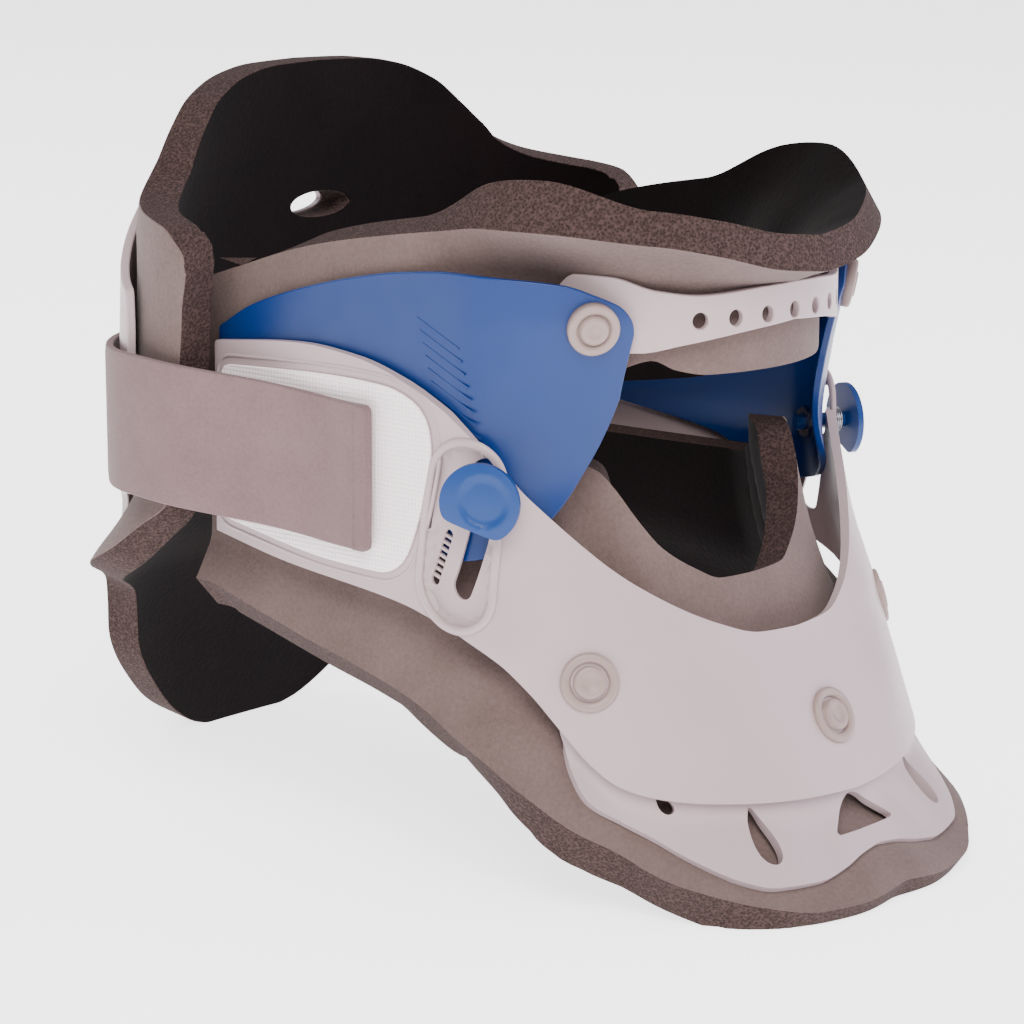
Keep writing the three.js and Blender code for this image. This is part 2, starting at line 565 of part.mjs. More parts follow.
// Back section: a plastic shell outside a larger foam pad, with one slot through both.
const napeSlot = () => frontPrism(oval(0, 163, 21, 7), 100, 140);
const ventHoles = [-24, -12, 0, 12, 24].map((x) => frontPrism(oval(x, 82, 5, 20), 115, 165));
add('back_pad', panel({
  surface: backWall, from: -86, to: 86, low: backStations.foot, high: backStations.top,
  depth: 0, thick: BACK_FOAM, columns: 43, rows: 13,
}).subtract(napeSlot()), LOOKS.velvet);
add('back_shell', minus(panel({
  surface: backWall, from: -70, to: 70,
  low: both(profile([[0, 36], [20, 42], [34, 62], [45, 84], [58, 95], [70, 98]])),
  high: both(profile([[0, 184], [30, 182], [45, 176], [56, 164], [66, 153], [70, 150]])),
  depth: -BACK_SHELL - FIT, thick: BACK_SHELL, columns: 35, rows: 11,
}), [napeSlot(), ...ventHoles, ...strapHoles]), LOOKS.shell);

// Standing pose: pitched, then moved so that the origin is under the middle of the box.
worn.rotation.x = PITCH;
worn.updateMatrixWorld(true);
const box = new THREE.Box3().setFromObject(worn, true);
worn.position.set(-(box.min.x + box.max.x) / 2, -(box.min.y + box.max.y) / 2, -box.min.z);

const collar = new THREE.Group();
collar.add(worn);

export default collar;
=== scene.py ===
import math

import bpy
import bmesh
import numpy as np
from mathutils import Matrix, Vector
from mathutils.geometry import delaunay_2d_cdt


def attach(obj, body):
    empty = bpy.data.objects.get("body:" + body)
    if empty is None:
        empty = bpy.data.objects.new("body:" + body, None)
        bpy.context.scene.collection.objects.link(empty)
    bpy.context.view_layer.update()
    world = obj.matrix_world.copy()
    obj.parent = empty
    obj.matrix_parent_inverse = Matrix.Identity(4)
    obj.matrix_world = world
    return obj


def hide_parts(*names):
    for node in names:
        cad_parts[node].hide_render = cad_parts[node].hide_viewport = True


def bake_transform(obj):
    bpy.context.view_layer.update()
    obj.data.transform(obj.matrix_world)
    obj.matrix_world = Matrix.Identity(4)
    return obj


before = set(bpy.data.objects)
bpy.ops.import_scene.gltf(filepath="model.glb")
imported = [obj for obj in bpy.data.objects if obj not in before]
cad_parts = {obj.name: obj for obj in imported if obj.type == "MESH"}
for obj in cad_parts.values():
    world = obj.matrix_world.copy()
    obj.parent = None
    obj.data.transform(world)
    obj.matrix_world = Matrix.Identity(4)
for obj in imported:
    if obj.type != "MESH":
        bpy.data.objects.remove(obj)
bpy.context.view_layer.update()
print("frame loaded")

# Everything below is drawn as the collar is worn, in millimetres: up is +Z, the chin faces -Y.
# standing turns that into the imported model's frame, in metres.
standing = {"pitch": -1.6, "back": -41.381, "up": -10.023}
tilt = math.radians(standing["pitch"])


def toFrame(points):
    p = np.atleast_2d(np.asarray(points, float))
    y = p[:, 1] * math.cos(tilt) - p[:, 2] * math.sin(tilt) + standing["back"]
    z = p[:, 1] * math.sin(tilt) + p[:, 2] * math.cos(tilt) + standing["up"]
    return np.stack([p[:, 0], y, z], 1) / 1000


def turnToFrame(vectors):
    v = np.atleast_2d(np.asarray(vectors, float))
    y = v[:, 1] * math.cos(tilt) - v[:, 2] * math.sin(tilt)
    z = v[:, 1] * math.sin(tilt) + v[:, 2] * math.cos(tilt)
    return np.stack([v[:, 0], y, z], 1)


# ---- camera, lights and floor ----

camera = {"azimuth": -49, "elevation": 12, "distance": 900, "lookAt": (0, 47, 87), "lens": 120.2}


def placeCamera():
    a, e = math.radians(camera["azimuth"]), math.radians(camera["elevation"])
    back = np.array([math.sin(a) * math.cos(e), -math.cos(a) * math.cos(e), math.sin(e)])
    right = np.array([math.cos(a), math.sin(a), 0])
    up = np.cross(back, right)
    spot = toFrame(np.array(camera["lookAt"]) + back * camera["distance"])[0]
    data = bpy.data.cameras.new("view")
    data.lens = camera["lens"]
    data.clip_start = 0.01
    eye = bpy.data.objects.new("view", data)
    columns = turnToFrame([right, up, back])
    turn = Matrix([[columns[j][i] for j in range(3)] for i in range(3)])
    eye.matrix_world = Matrix.Translation(Vector(spot)) @ turn.to_4x4()
    bpy.context.scene.collection.objects.link(eye)
    bpy.context.scene.camera = eye


studio = {
    "key": {"at": (-0.9, -0.75, 1.25), "size": 1.1, "power": 42, "colour": (1.0, 0.95, 0.91)},
    "fill": {"at": (1.1, -0.9, 0.7), "size": 1.2, "power": 17, "colour": (0.86, 0.82, 1.0)},
    "rim": {"at": (0.3, 1.3, 1.2), "size": 1.0, "power": 10, "colour": (0.94, 0.95, 1.0)},
    "sky": (0.97, 0.96, 0.97), "skyStrength": 0.6, "backdrop": 7, "floorGlow": 2.4,
}


def placeLights():
    for name in ("key", "fill", "rim"):
        settings = studio[name]
        data = bpy.data.lights.new(name, "AREA")
        data.size = settings["size"]
        data.energy = settings["power"]
        data.color = settings["colour"]
        lamp = bpy.data.objects.new(name, data)
        aim = Vector((0, 0, 0.09)) - Vector(settings["at"])
        lamp.matrix_world = Matrix.Translation(settings["at"]) @ aim.to_track_quat("-Z", "Y").to_matrix().to_4x4()
        bpy.context.scene.collection.objects.link(lamp)
    world = bpy.data.worlds.new("studio")
    world.use_nodes = True
    sky = world.node_tree.nodes["Background"]
    sky.inputs["Color"].default_value = (*studio["sky"], 1)
    sky.inputs["Strength"].default_value = studio["skyStrength"]
    links, nodes = world.node_tree.links, world.node_tree.nodes
    seen, level = nodes.new("ShaderNodeLightPath"), nodes.new("ShaderNodeMapRange")
    level.inputs["To Min"].default_value = studio["skyStrength"]
    level.inputs["To Max"].default_value = studio["backdrop"]
    links.new(seen.outputs["Is Camera Ray"], level.inputs["Value"])
    links.new(level.outputs[0], sky.inputs["Strength"])
    bpy.context.scene.world = world


placeCamera()
placeLights()

# ---- small maths ----


def profile(points):  # smooth curve through (t, value), held flat outside its ends
    t, v = np.array(points, float).T
    step = np.diff(t)
    slope = np.diff(v) / step
    a, b = slope[:-1], slope[1:]
    total = np.where(a + b == 0, 1, a + b)
    tangent = np.concatenate([slope[:1], np.where(a * b <= 0, 0, 2 * a * b / total), slope[-1:]])

    def curve(x):
        x = np.clip(np.asarray(x, float), t[0], t[-1])
        i = np.clip(np.searchsorted(t, x, side="right") - 1, 0, len(step) - 1)
        s = (x - t[i]) / step[i]
        rise = v[i + 1] - v[i]
        bend = s * (1 - s) * ((1 - s) * (tangent[i] * step[i] - rise) - s * (tangent[i + 1] * step[i] - rise))
        return v[i] + rise * s + bend
    return curve


def smooth(t):
    s = np.clip(t, 0, 1)
    return s * s * (3 - 2 * s)


def mix(a, b, t):
    return a + (b - a) * t


# ---- the collar's surfaces ----
# Station u runs round the front: 0 on the chin line, 1 where the side begins, 2 at Y = 92.

sideEnd = 92
wallHalf = profile([[0, 82], [15, 80], [30, 77], [48, 74.5], [72, 73.5], [90, 72], [110, 71.5]])
wallFront = profile([[0, -77], [15, -73], [30, -67], [50, -58], [70, -47], [95, -36],
                     [112, -32], [132, -36.5], [150, -42.5]])
wallTurn = profile([[72, 0], [90, 4], [110, 6], [160, 4]])


def station(u, half, turn, front):
    side = np.where(u < 0, -1.0, 1.0)
    a = np.abs(u)
    angle = np.minimum(a, 1) * np.pi / 2
    x = side * half * np.sin(angle)
    y = np.where(a > 1, turn + (a - 1) * (sideEnd - turn), turn - (turn - front) * np.cos(angle))
    return x, y


def wall(u, z, depth):
    return station(u, wallHalf(z) - depth, wallTurn(z), wallFront(z) + 1.15 * depth)


def stationAt(y, z):  # station of the wall's point at a given Y
    turn, front = wallTurn(z), wallFront(z)
    ahead = np.arccos(np.clip((turn - y) / (turn - front), -1, 1)) * 2 / np.pi
    return np.where(y > turn, 1 + (y - turn) / (sideEnd - turn), ahead)


band = {"half": 51.5, "turn": 4, "front": -44, "thick": 2.2}


def bandWall(u, z, depth):
    return station(u, band["half"] - depth + 0 * z, band["turn"], band["front"] + depth)


backCentre = 70
backHalf = profile([[60, 92], [76, 92.5], [101, 86], [138, 86], [165, 90]])
backReach = profile([[14, 89], [50, 80], [72, 71], [86, 61.5], [99, 56]])
backPower = profile([[14, 2.6], [70, 3.7], [98, 3], [136, 3], [160, 2.6], [180, 2.3]])


def backWall(degrees, z, depth):
    angle = np.radians(degrees)
    n = backPower(z)
    across = np.abs(np.sin(angle)) / (backHalf(z) - depth)
    along = np.abs(np.cos(angle)) / (backReach(z) - depth)
    r = (across ** n + along ** n) ** (-1 / n)
    return r * np.sin(angle), backCentre + r * np.cos(angle)


# Flat maps: the front and the back are laid out by length along one height, so that an outline
# and its holes are drawn in millimetres on the flat and then wrapped.
def layOut(surface, reach, height):
    steps = np.linspace(-reach, reach, 4001)
    x, y = surface(steps, np.full_like(steps, height), 0)
    run = np.concatenate([[0], np.cumsum(np.hypot(np.diff(x), np.diff(y)))])
    run -= run[2000]
    return (lambda s: np.interp(s, run, steps)), (lambda u: np.interp(u, steps, run))


uOf, runOf = layOut(wall, 2.2, 100.0)
degreesOf, backRunOf = layOut(backWall, 100.0, 110.0)


def onFront(surface):
    def place(s, z, depth):
        x, y = surface(uOf(s), z, depth)
        return np.stack([x, y, z + 0 * x], 1)
    return place


def onBack(s, z, depth):
    x, y = backWall(degreesOf(s), z, depth)
    return np.stack([x, y, z + 0 * x], 1)


# ---- making sheets ----


def resample(loop, step, closed=True):
    loop = np.asarray(loop, float)
    ring = np.vstack([loop, loop[:1]]) if closed else loop
    run = np.concatenate([[0], np.cumsum(np.hypot(*np.diff(ring, axis=0).T))])
    count = max(8, int(round(run[-1] / step)))
    at = np.linspace(0, run[-1], count + 1)
    if closed:
        at = at[:-1]
    return np.stack([np.interp(at, run, ring[:, 0]), np.interp(at, run, ring[:, 1])], 1)


def inside(points, loop):
    x, y = points[:, 0:1], points[:, 1:2]
    x0, y0 = loop[:, 0], loop[:, 1]
    x1, y1 = np.roll(x0, -1), np.roll(y0, -1)
    crosses = (y0 > y) != (y1 > y)
    rise = np.where(y1 == y0, 1, y1 - y0)
    return (crosses & (x < (x1 - x0) * (y - y0) / rise + x0)).sum(1) % 2 == 1


def gap(points, loop):
    best = np.full(len(points), 1e9)
    for start in range(0, len(points), 4000):
        chunk = points[start:start + 4000]
        best[start:start + 4000] = np.sqrt(((chunk[:, None] - loop[None]) ** 2).sum(2)).min(1)
    return best


def flatTriangles(outline, holes, step):
    loops = [outline, *holes]
    low, high = outline.min(0), outline.max(0)
    rows = np.arange(low[1] + step / 2, high[1], step * 0.87)
    grid = []
    for k, z in enumerate(rows):
        s = np.arange(low[0] + (k % 2) * step / 2, high[0], step)
        grid.append(np.stack([s, np.full_like(s, z)], 1))
    grid = np.vstack(grid)
    grid = grid[inside(grid, outline)]
    for loop in holes:
        grid = grid[~inside(grid, loop)]
    for loop in loops:
        grid = grid[gap(grid, loop) > step * 0.55]
    points, edges = [], []
    for loop in loops:
        base, n = len(points), len(loop)
        points += [Vector(p) for p in loop]
        edges += [(base + i, base + (i + 1) % n) for i in range(n)]
    points += [Vector(p) for p in grid]
    flat, _, faces, *_ = delaunay_2d_cdt(points, edges, [], 0, 1e-6, False)
    flat = np.array([(p.x, p.y) for p in flat])
    faces = np.array(faces)
    middle = flat[faces].mean(1)
    keep = inside(middle, outline)
    for loop in holes:
        keep &= ~inside(middle, loop)
    return flat, faces[keep]


def outwardOf(place, facing, s, z, depth):
    e = 0.05
    along = place(s + e, z, depth) - place(s - e, z, depth)
    up = place(s, z + e, depth) - place(s, z - e, depth)
    out = np.cross(along, up) * facing
    return out / np.linalg.norm(out, axis=1, keepdims=True)


def newObject(name, points, faces, materials, slots=None, uv=None):
    mesh = bpy.data.meshes.new(name)
    mesh.from_pydata([tuple(p) for p in toFrame(points)], [], [tuple(int(i) for i in f) for f in faces])
    for material in materials:
        mesh.materials.append(material)
    if slots is not None:
        mesh.polygons.foreach_set("material_index", np.asarray(slots, int))
    if uv is not None:
        layer = mesh.uv_layers.new(name="laidFlat")
        index = np.empty(len(mesh.loops), int)
        mesh.loops.foreach_get("vertex_index", index)
        layer.data.foreach_set("uv", (np.asarray(uv)[index] / 1000).ravel())
    mesh.polygons.foreach_set("use_smooth", np.ones(len(mesh.polygons), bool))
    mesh.validate()
    piece = bpy.data.objects.new(name, mesh)
    bpy.context.scene.collection.objects.link(piece)
    return piece


def finished(piece, bevel=0, segments=2, angle=40):  # modifiers applied to the mesh
    if bevel:
        mod = piece.modifiers.new("edges", "BEVEL")
        mod.width = bevel / 1000
        mod.segments = segments
        mod.limit_method = "ANGLE"
        mod.angle_limit = math.radians(angle)
        mod.harden_normals = True
    return baked(piece)


def baked(piece):
    graph = bpy.context.evaluated_depsgraph_get()
    mesh = bpy.data.meshes.new_from_object(piece.evaluated_get(graph), depsgraph=graph)
    mesh.name = piece.name
    piece.modifiers.clear()
    piece.data = mesh
    return piece


# A sheet on a surface, with its real thickness: materials are (outer, inner, edge).
def sheetPiece(name, place, outline, holes=(), step=2, depth=0, thick=2, facing=1, relief=None,
               materials=(), bevel=0.4, segments=2, flare=None):
    outline = resample(outline, step * 0.8)
    holes = [resample(h, min(step * 0.8, 0.9)) for h in holes]
    flat, faces = flatTriangles(outline, holes, step)
    s, z = flat[:, 0], flat[:, 1]
    deep = depth(s, z) if callable(depth) else np.full_like(s, depth)
    out = outwardOf(place, facing, s, z, deep)
    outer = place(s, z, deep)
    width = thick(s, z) if callable(thick) else np.full_like(s, thick)
    inner = outer - out * width[:, None]
    if relief:
        outer = outer + out * relief(s, z)[:, None]
    if flare:
        inner = inner + flare(s, z)
    n = len(flat)
    if facing < 0:
        faces = faces[:, ::-1]
    count = {}
    for a, b, c in faces:
        for edge in ((a, b), (b, c), (c, a)):
            key = (min(edge), max(edge))
            count[key] = None if key in count else edge
    rim = [edge for edge in count.values() if edge]
    allFaces = [tuple(f) for f in faces] + [tuple(f[::-1] + n) for f in faces]
    allFaces += [(b, a, a + n, b + n) for a, b in rim]
    slots = [0] * len(faces) + [min(1, len(materials) - 1)] * len(faces) + [min(2, len(materials) - 1)] * len(rim)
    used = np.zeros(2 * n, bool)
    used[np.unique(np.concatenate([faces.ravel(), faces.ravel() + n]))] = True
    number = np.cumsum(used) - 1
    allFaces = [tuple(number[list(f)]) for f in allFaces]
    uv = np.vstack([flat, flat])[used]
    piece = newObject(name, np.vstack([outer, inner])[used], allFaces, materials, slots, uv)
    return finished(piece, bevel, segments) if bevel else piece


def tubePiece(name, path, radius, material, sides=8, closed=True, squash=1.0, outs=None):
    path = np.asarray(path, float)
    n = len(path)
    ahead = np.roll(path, -1, 0) - np.roll(path, 1, 0)
    if not closed:
        ahead[0], ahead[-1] = path[1] - path[0], path[-1] - path[-2]
    ahead /= np.linalg.norm(ahead, axis=1, keepdims=True)
    side = np.cross(outs, ahead)
    side /= np.linalg.norm(side, axis=1, keepdims=True)
    up = np.cross(ahead, side)
    points = []
    for k in range(sides):
        angle = 2 * math.pi * k / sides
        points.append(path + radius * (math.cos(angle) * side + squash * math.sin(angle) * up))
    points = np.stack(points, 1).reshape(-1, 3)
    faces = []
    for i in range(n if closed else n - 1):
        j = (i + 1) % n
        for k in range(sides):
            m = (k + 1) % sides
            faces.append((i * sides + k, i * sides + m, j * sides + m, j * sides + k))
    if not closed:
        faces.append(tuple(range(sides))[::-1])
        faces.append(tuple((n - 1) * sides + k for k in range(sides)))
    piece = newObject(name, points, faces, [material])
    fixNormals(piece)
    return piece


def fixNormals(piece):
    work = bmesh.new()
    work.from_mesh(piece.data)
    bmesh.ops.recalc_face_normals(work, faces=work.faces)
    work.to_mesh(piece.data)
    work.free()


def joined(name, pieces):
    first = pieces[0]
    with bpy.context.temp_override(active_object=first, selected_editable_objects=pieces, object=first):
        bpy.ops.object.join()
    first.name = name
    first.data.name = name
    return first


# Turned piece: (radius, height) points round an axis, at the origin along +Z, in metres.
def turnedMesh(name, points, segments=40):
    ring = [(r, h) for r, h in points]
    vertices, faces = [], []
    for r, h in ring:
        for k in range(segments):
            angle = 2 * math.pi * k / segments
            vertices.append((r * math.cos(angle) / 1000, r * math.sin(angle) / 1000, h / 1000))
    for i in range(len(ring) - 1):
        for k in range(segments):
            m = (k + 1) % segments
            faces.append((i * segments + k, i * segments + m, (i + 1) * segments + m, (i + 1) * segments + k))
    faces.append(tuple(range(segments))[::-1])
    faces.append(tuple((len(ring) - 1) * segments + k for k in range(segments)))
    mesh = bpy.data.meshes.new(name)
    mesh.from_pydata(vertices, [], faces)
    work = bmesh.new()
    work.from_mesh(mesh)
    bmesh.ops.remove_doubles(work, verts=work.verts, dist=1e-6)
    bmesh.ops.recalc_face_normals(work, faces=work.faces)
    work.to_mesh(mesh)
    work.free()
    mesh.polygons.foreach_set("use_smooth", np.ones(len(mesh.polygons), bool))
    return mesh


# ---- shared shader effects ----


def colour(hexCode, alpha=1.0):  # sRGB hex to linear
    parts = [int(hexCode[i:i + 2], 16) / 255 for i in (1, 3, 5)]
    return (*[c / 12.92 if c <= 0.04045 else ((c + 0.055) / 1.055) ** 2.4 for c in parts], alpha)


def newGroup(name, inputs, outputs):
    group = bpy.data.node_groups.new(name, "ShaderNodeTree")
    for label, kind, value in inputs:
        socket = group.interface.new_socket(name=label, in_out="INPUT", socket_type=kind)
        if value is not None:
            socket.default_value = value
    for label, kind in outputs:
        group.interface.new_socket(name=label, in_out="OUTPUT", socket_type=kind)
    return group, group.nodes.new("NodeGroupInput"), group.nodes.new("NodeGroupOutput")


def node(tree, kind, links=None, **settings):
    made = tree.nodes.new(kind)
    for key, value in settings.items():
        setattr(made, key, value)
    for socket, source in (links or {}).items():
        if isinstance(source, bpy.types.NodeSocket):
            tree.links.new(source, made.inputs[socket])
        else:
            made.inputs[socket].default_value = source
    return made


# Napped cloth: broad mottling and a fine fuzz. Put out as a mask and a height.
def makeNap():
    group, given, out = newGroup("nap", [
        ("Vector", "NodeSocketVector", None), ("Fuzz", "NodeSocketFloat", 900.0), ("Patch", "NodeSocketFloat", 45.0),
        ("Balance", "NodeSocketFloat", 0.5),
    ], [("Mask", "NodeSocketFloat"), ("Height", "NodeSocketFloat")])
    fuzz = node(group, "ShaderNodeTexNoise", {"Vector": given.outputs["Vector"], "Scale": given.outputs["Fuzz"],
                                              "Detail": 4.0, "Roughness": 0.7})
    patch = node(group, "ShaderNodeTexNoise", {"Vector": given.outputs["Vector"], "Scale": given.outputs["Patch"],
                                               "Detail": 3.0, "Roughness": 0.6})
    both = node(group, "ShaderNodeMix", {"Factor": given.outputs["Balance"], "A": patch.outputs[0],
                                         "B": fuzz.outputs[0]})
    spread = node(group, "ShaderNodeMapRange", {"Value": both.outputs[0], "From Min": 0.3, "From Max": 0.7})
    group.links.new(spread.outputs[0], out.inputs["Mask"])
    group.links.new(fuzz.outputs[0], out.inputs["Height"])
    return group


# Open cells of cut foam: dark pores between lighter walls.
def makePores():
    group, given, out = newGroup("pores", [("Vector", "NodeSocketVector", None), ("Scale", "NodeSocketFloat", 1500.0)],
                                 [("Mask", "NodeSocketFloat"), ("Height", "NodeSocketFloat")])
    cells = node(group, "ShaderNodeTexVoronoi", {"Vector": given.outputs["Vector"], "Scale": given.outputs["Scale"]})
    dust = node(group, "ShaderNodeTexNoise", {"Vector": given.outputs["Vector"], "Scale": given.outputs["Scale"],
                                              "Detail": 3.0})
    blend = node(group, "ShaderNodeMath", {0: cells.outputs["Distance"], 1: dust.outputs[0]}, operation="MULTIPLY")
    spread = node(group, "ShaderNodeMapRange", {"Value": blend.outputs[0], "From Min": 0.05, "From Max": 0.42})
    group.links.new(spread.outputs[0], out.inputs["Mask"])
    group.links.new(blend.outputs[0], out.inputs["Height"])
    return group


# Moulded plastic: faint flow shade, a fine spark-eroded grain and small rubs.
def makeMoulding():
    group, given, out = newGroup("moulding", [
        ("Vector", "NodeSocketVector", None), ("Grain", "NodeSocketFloat", 2600.0),
    ], [("Shade", "NodeSocketFloat"), ("Rub", "NodeSocketFloat"), ("Height", "NodeSocketFloat")])
    flow = node(group, "ShaderNodeTexNoise", {"Vector": given.outputs["Vector"], "Scale": 14.0, "Detail": 2.0})
    grain = node(group, "ShaderNodeTexNoise", {"Vector": given.outputs["Vector"], "Scale": given.outputs["Grain"],
                                               "Detail": 2.0})
    rub = node(group, "ShaderNodeTexNoise", {"Vector": given.outputs["Vector"], "Scale": 120.0, "Detail": 6.0,
                                             "Roughness": 0.75})
    spread = node(group, "ShaderNodeMapRange", {"Value": rub.outputs[0], "From Min": 0.45, "From Max": 0.75})
    group.links.new(flow.outputs[0], out.inputs["Shade"])
    group.links.new(spread.outputs[0], out.inputs["Rub"])
    group.links.new(grain.outputs[0], out.inputs["Height"])
    return group


nap, pores, moulding = makeNap(), makePores(), makeMoulding()


def startMaterial(name):
    material = bpy.data.materials.new(name)
    material.use_nodes = True
    tree = material.node_tree
    return material, tree, tree.nodes["Principled BSDF"], tree.nodes.new("ShaderNodeTexCoord")


def grouped(tree, group, links):
    placed = tree.nodes.new("ShaderNodeGroup")
    placed.node_tree = group
    for socket, source in links.items():
        if isinstance(source, bpy.types.NodeSocket):
            tree.links.new(source, placed.inputs[socket])
        else:
            placed.inputs[socket].default_value = source
    return placed


def blendColours(tree, factor, a, b):
    made = tree.nodes.new("ShaderNodeMix")
    made.data_type = "RGBA"
    tree.links.new(factor, made.inputs["Factor"])
    for socket, value in ((6, a), (7, b)):
        if isinstance(value, bpy.types.NodeSocket):
            tree.links.new(value, made.inputs[socket])
        else:
            made.inputs[socket].default_value = value
    return made.outputs[2]


def painted(tree, shader, mask, dark, light):
    tree.links.new(blendColours(tree, mask, colour(dark), colour(light)), shader.inputs["Base Color"])


def bumped(tree, shader, height, strength, distance):
    bump = node(tree, "ShaderNodeBump", {"Height": height, "Strength": strength, "Distance": distance})
    tree.links.new(bump.outputs[0], shader.inputs["Normal"])


plastics = {
    "shellPlastic": {"light": "#aa989a", "dark": "#a08e94", "rough": (0.36, 0.46), "grain": 2600, "bump": 0.05},
    "plateBlue": {"light": "#002a68", "dark": "#00235a", "rough": (0.34, 0.44), "grain": 2400, "bump": 0.06},
    "knobBlue": {"light": "#043573", "dark": "#032d66", "rough": (0.36, 0.5), "grain": 2000, "bump": 0.08},
    "rivetPlastic": {"light": "#8f7d79", "dark": "#84726d", "rough": (0.36, 0.48), "grain": 2400, "bump": 0.05},
}


def plasticMaterial(name):
    s = plastics[name]
    material, tree, shader, where = startMaterial(name)
    skin = grouped(tree, moulding, {"Vector": where.outputs["Object"], "Grain": float(s["grain"])})
    painted(tree, shader, skin.outputs["Shade"], s["dark"], s["light"])
    rough = node(tree, "ShaderNodeMapRange", {"Value": skin.outputs["Rub"], "To Min": s["rough"][0],
                                              "To Max": s["rough"][1]})
    tree.links.new(rough.outputs[0], shader.inputs["Roughness"])
    shader.inputs["Specular IOR Level"].default_value = 0.35
    bumped(tree, shader, skin.outputs["Height"], s["bump"], 0.0002)
    return material


cloths = {
    "loopCloth": {"light": "#6a5a57", "dark": "#554744", "fuzz": 950, "patch": 60, "balance": 0.6,
                  "sheen": 0.12, "bump": 0.5},
    "velour": {"light": "#0d0506", "dark": "#030102", "fuzz": 700, "patch": 38, "balance": 0.4,
               "sheen": 0.03, "bump": 0.5},
    "strapCloth": {"light": "#746061", "dark": "#655253", "fuzz": 1100, "patch": 90, "balance": 0.6,
                   "sheen": 0.15, "bump": 0.4},
}


def clothMaterial(name):
    s = cloths[name]
    material, tree, shader, where = startMaterial(name)
    pile = grouped(tree, nap, {"Vector": where.outputs["Object"], "Fuzz": float(s["fuzz"]), "Patch": float(s["patch"]),
                               "Balance": s["balance"]})
    painted(tree, shader, pile.outputs["Mask"], s["dark"], s["light"])
    shader.inputs["Roughness"].default_value = 0.95
    shader.inputs["Specular IOR Level"].default_value = 0.08
    shader.inputs["Sheen Weight"].default_value = s["sheen"]
    shader.inputs["Sheen Roughness"].default_value = 0.5
    bumped(tree, shader, pile.outputs["Height"], s["bump"], 0.0005)
    return material


def cutFoamMaterial():
    material, tree, shader, where = startMaterial("cutFoam")
    cells = grouped(tree, pores, {"Vector": where.outputs["Object"], "Scale": 1400.0})
    painted(tree, shader, cells.outputs["Mask"], "#1f1513", "#433432")
    shader.inputs["Roughness"].default_value = 0.95
    shader.inputs["Specular IOR Level"].default_value = 0.2
    bumped(tree, shader, cells.outputs["Height"], 0.6, 0.0006)
    return material


def hookMaterial():  # rows of small dots, laid out on the sheet's own flat map
    material, tree, shader, where = startMaterial("hookCloth")
    dots = node(tree, "ShaderNodeTexVoronoi", {"Vector": where.outputs["UV"], "Scale": 900.0, "Randomness": 0.06},
                voronoi_dimensions="2D")
    fuzz = node(tree, "ShaderNodeTexNoise", {"Vector": where.outputs["Object"], "Scale": 500.0, "Detail": 3.0})
    spread = node(tree, "ShaderNodeMapRange", {"Value": dots.outputs["Distance"], "From Min": 0.25, "From Max": 0.6})
    woven = blendColours(tree, spread.outputs[0], colour("#fff4f7"), colour("#dccfd6"))
    tree.links.new(blendColours(tree, fuzz.outputs[0], colour("#f2e7ec"), woven), shader.inputs["Base Color"])
    shader.inputs["Roughness"].default_value = 0.85
    bumped(tree, shader, spread.outputs[0], 0.35, -0.0003)
    return material


def steelMaterial():
    material, tree, shader, where = startMaterial("springSteel")
    streaks = grouped(tree, moulding, {"Vector": where.outputs["Object"], "Grain": 3000.0})
    shader.inputs["Metallic"].default_value = 1.0
    painted(tree, shader, streaks.outputs["Shade"], "#a4a4a8", "#c4c4c8")
    rough = node(tree, "ShaderNodeMapRange", {"Value": streaks.outputs["Rub"], "To Min": 0.25, "To Max": 0.4})
    tree.links.new(rough.outputs[0], shader.inputs["Roughness"])
    return material


def floorMaterial():
    material, tree, shader, where = startMaterial("paperFloor")
    grain = node(tree, "ShaderNodeTexNoise", {"Vector": where.outputs["Object"], "Scale": 3.0, "Detail": 2.0})
    painted(tree, shader, grain.outputs[0], "#f1f0f1", "#f5f4f4")
    shader.inputs["Roughness"].default_value = 0.9
    shader.inputs["Emission Color"].default_value = (1, 0.98, 0.98, 1)
    shader.inputs["Emission Strength"].default_value = studio["floorGlow"]
    return material


shellPlastic, plateBlue = plasticMaterial("shellPlastic"), plasticMaterial("plateBlue")
knobBlue, rivetPlastic = plasticMaterial("knobBlue"), plasticMaterial("rivetPlastic")
loopCloth, velour, strapCloth = clothMaterial("loopCloth"), clothMaterial("velour"), clothMaterial("strapCloth")
cutFoam, hookCloth, springSteel = cutFoamMaterial(), hookMaterial(), steelMaterial()
foamLook = (loopCloth, velour, cutFoam)
print("materials made")

# ---- repeated pieces ----
# One tree sets a piece at each point, its own Z along "facing" and its X along "along".


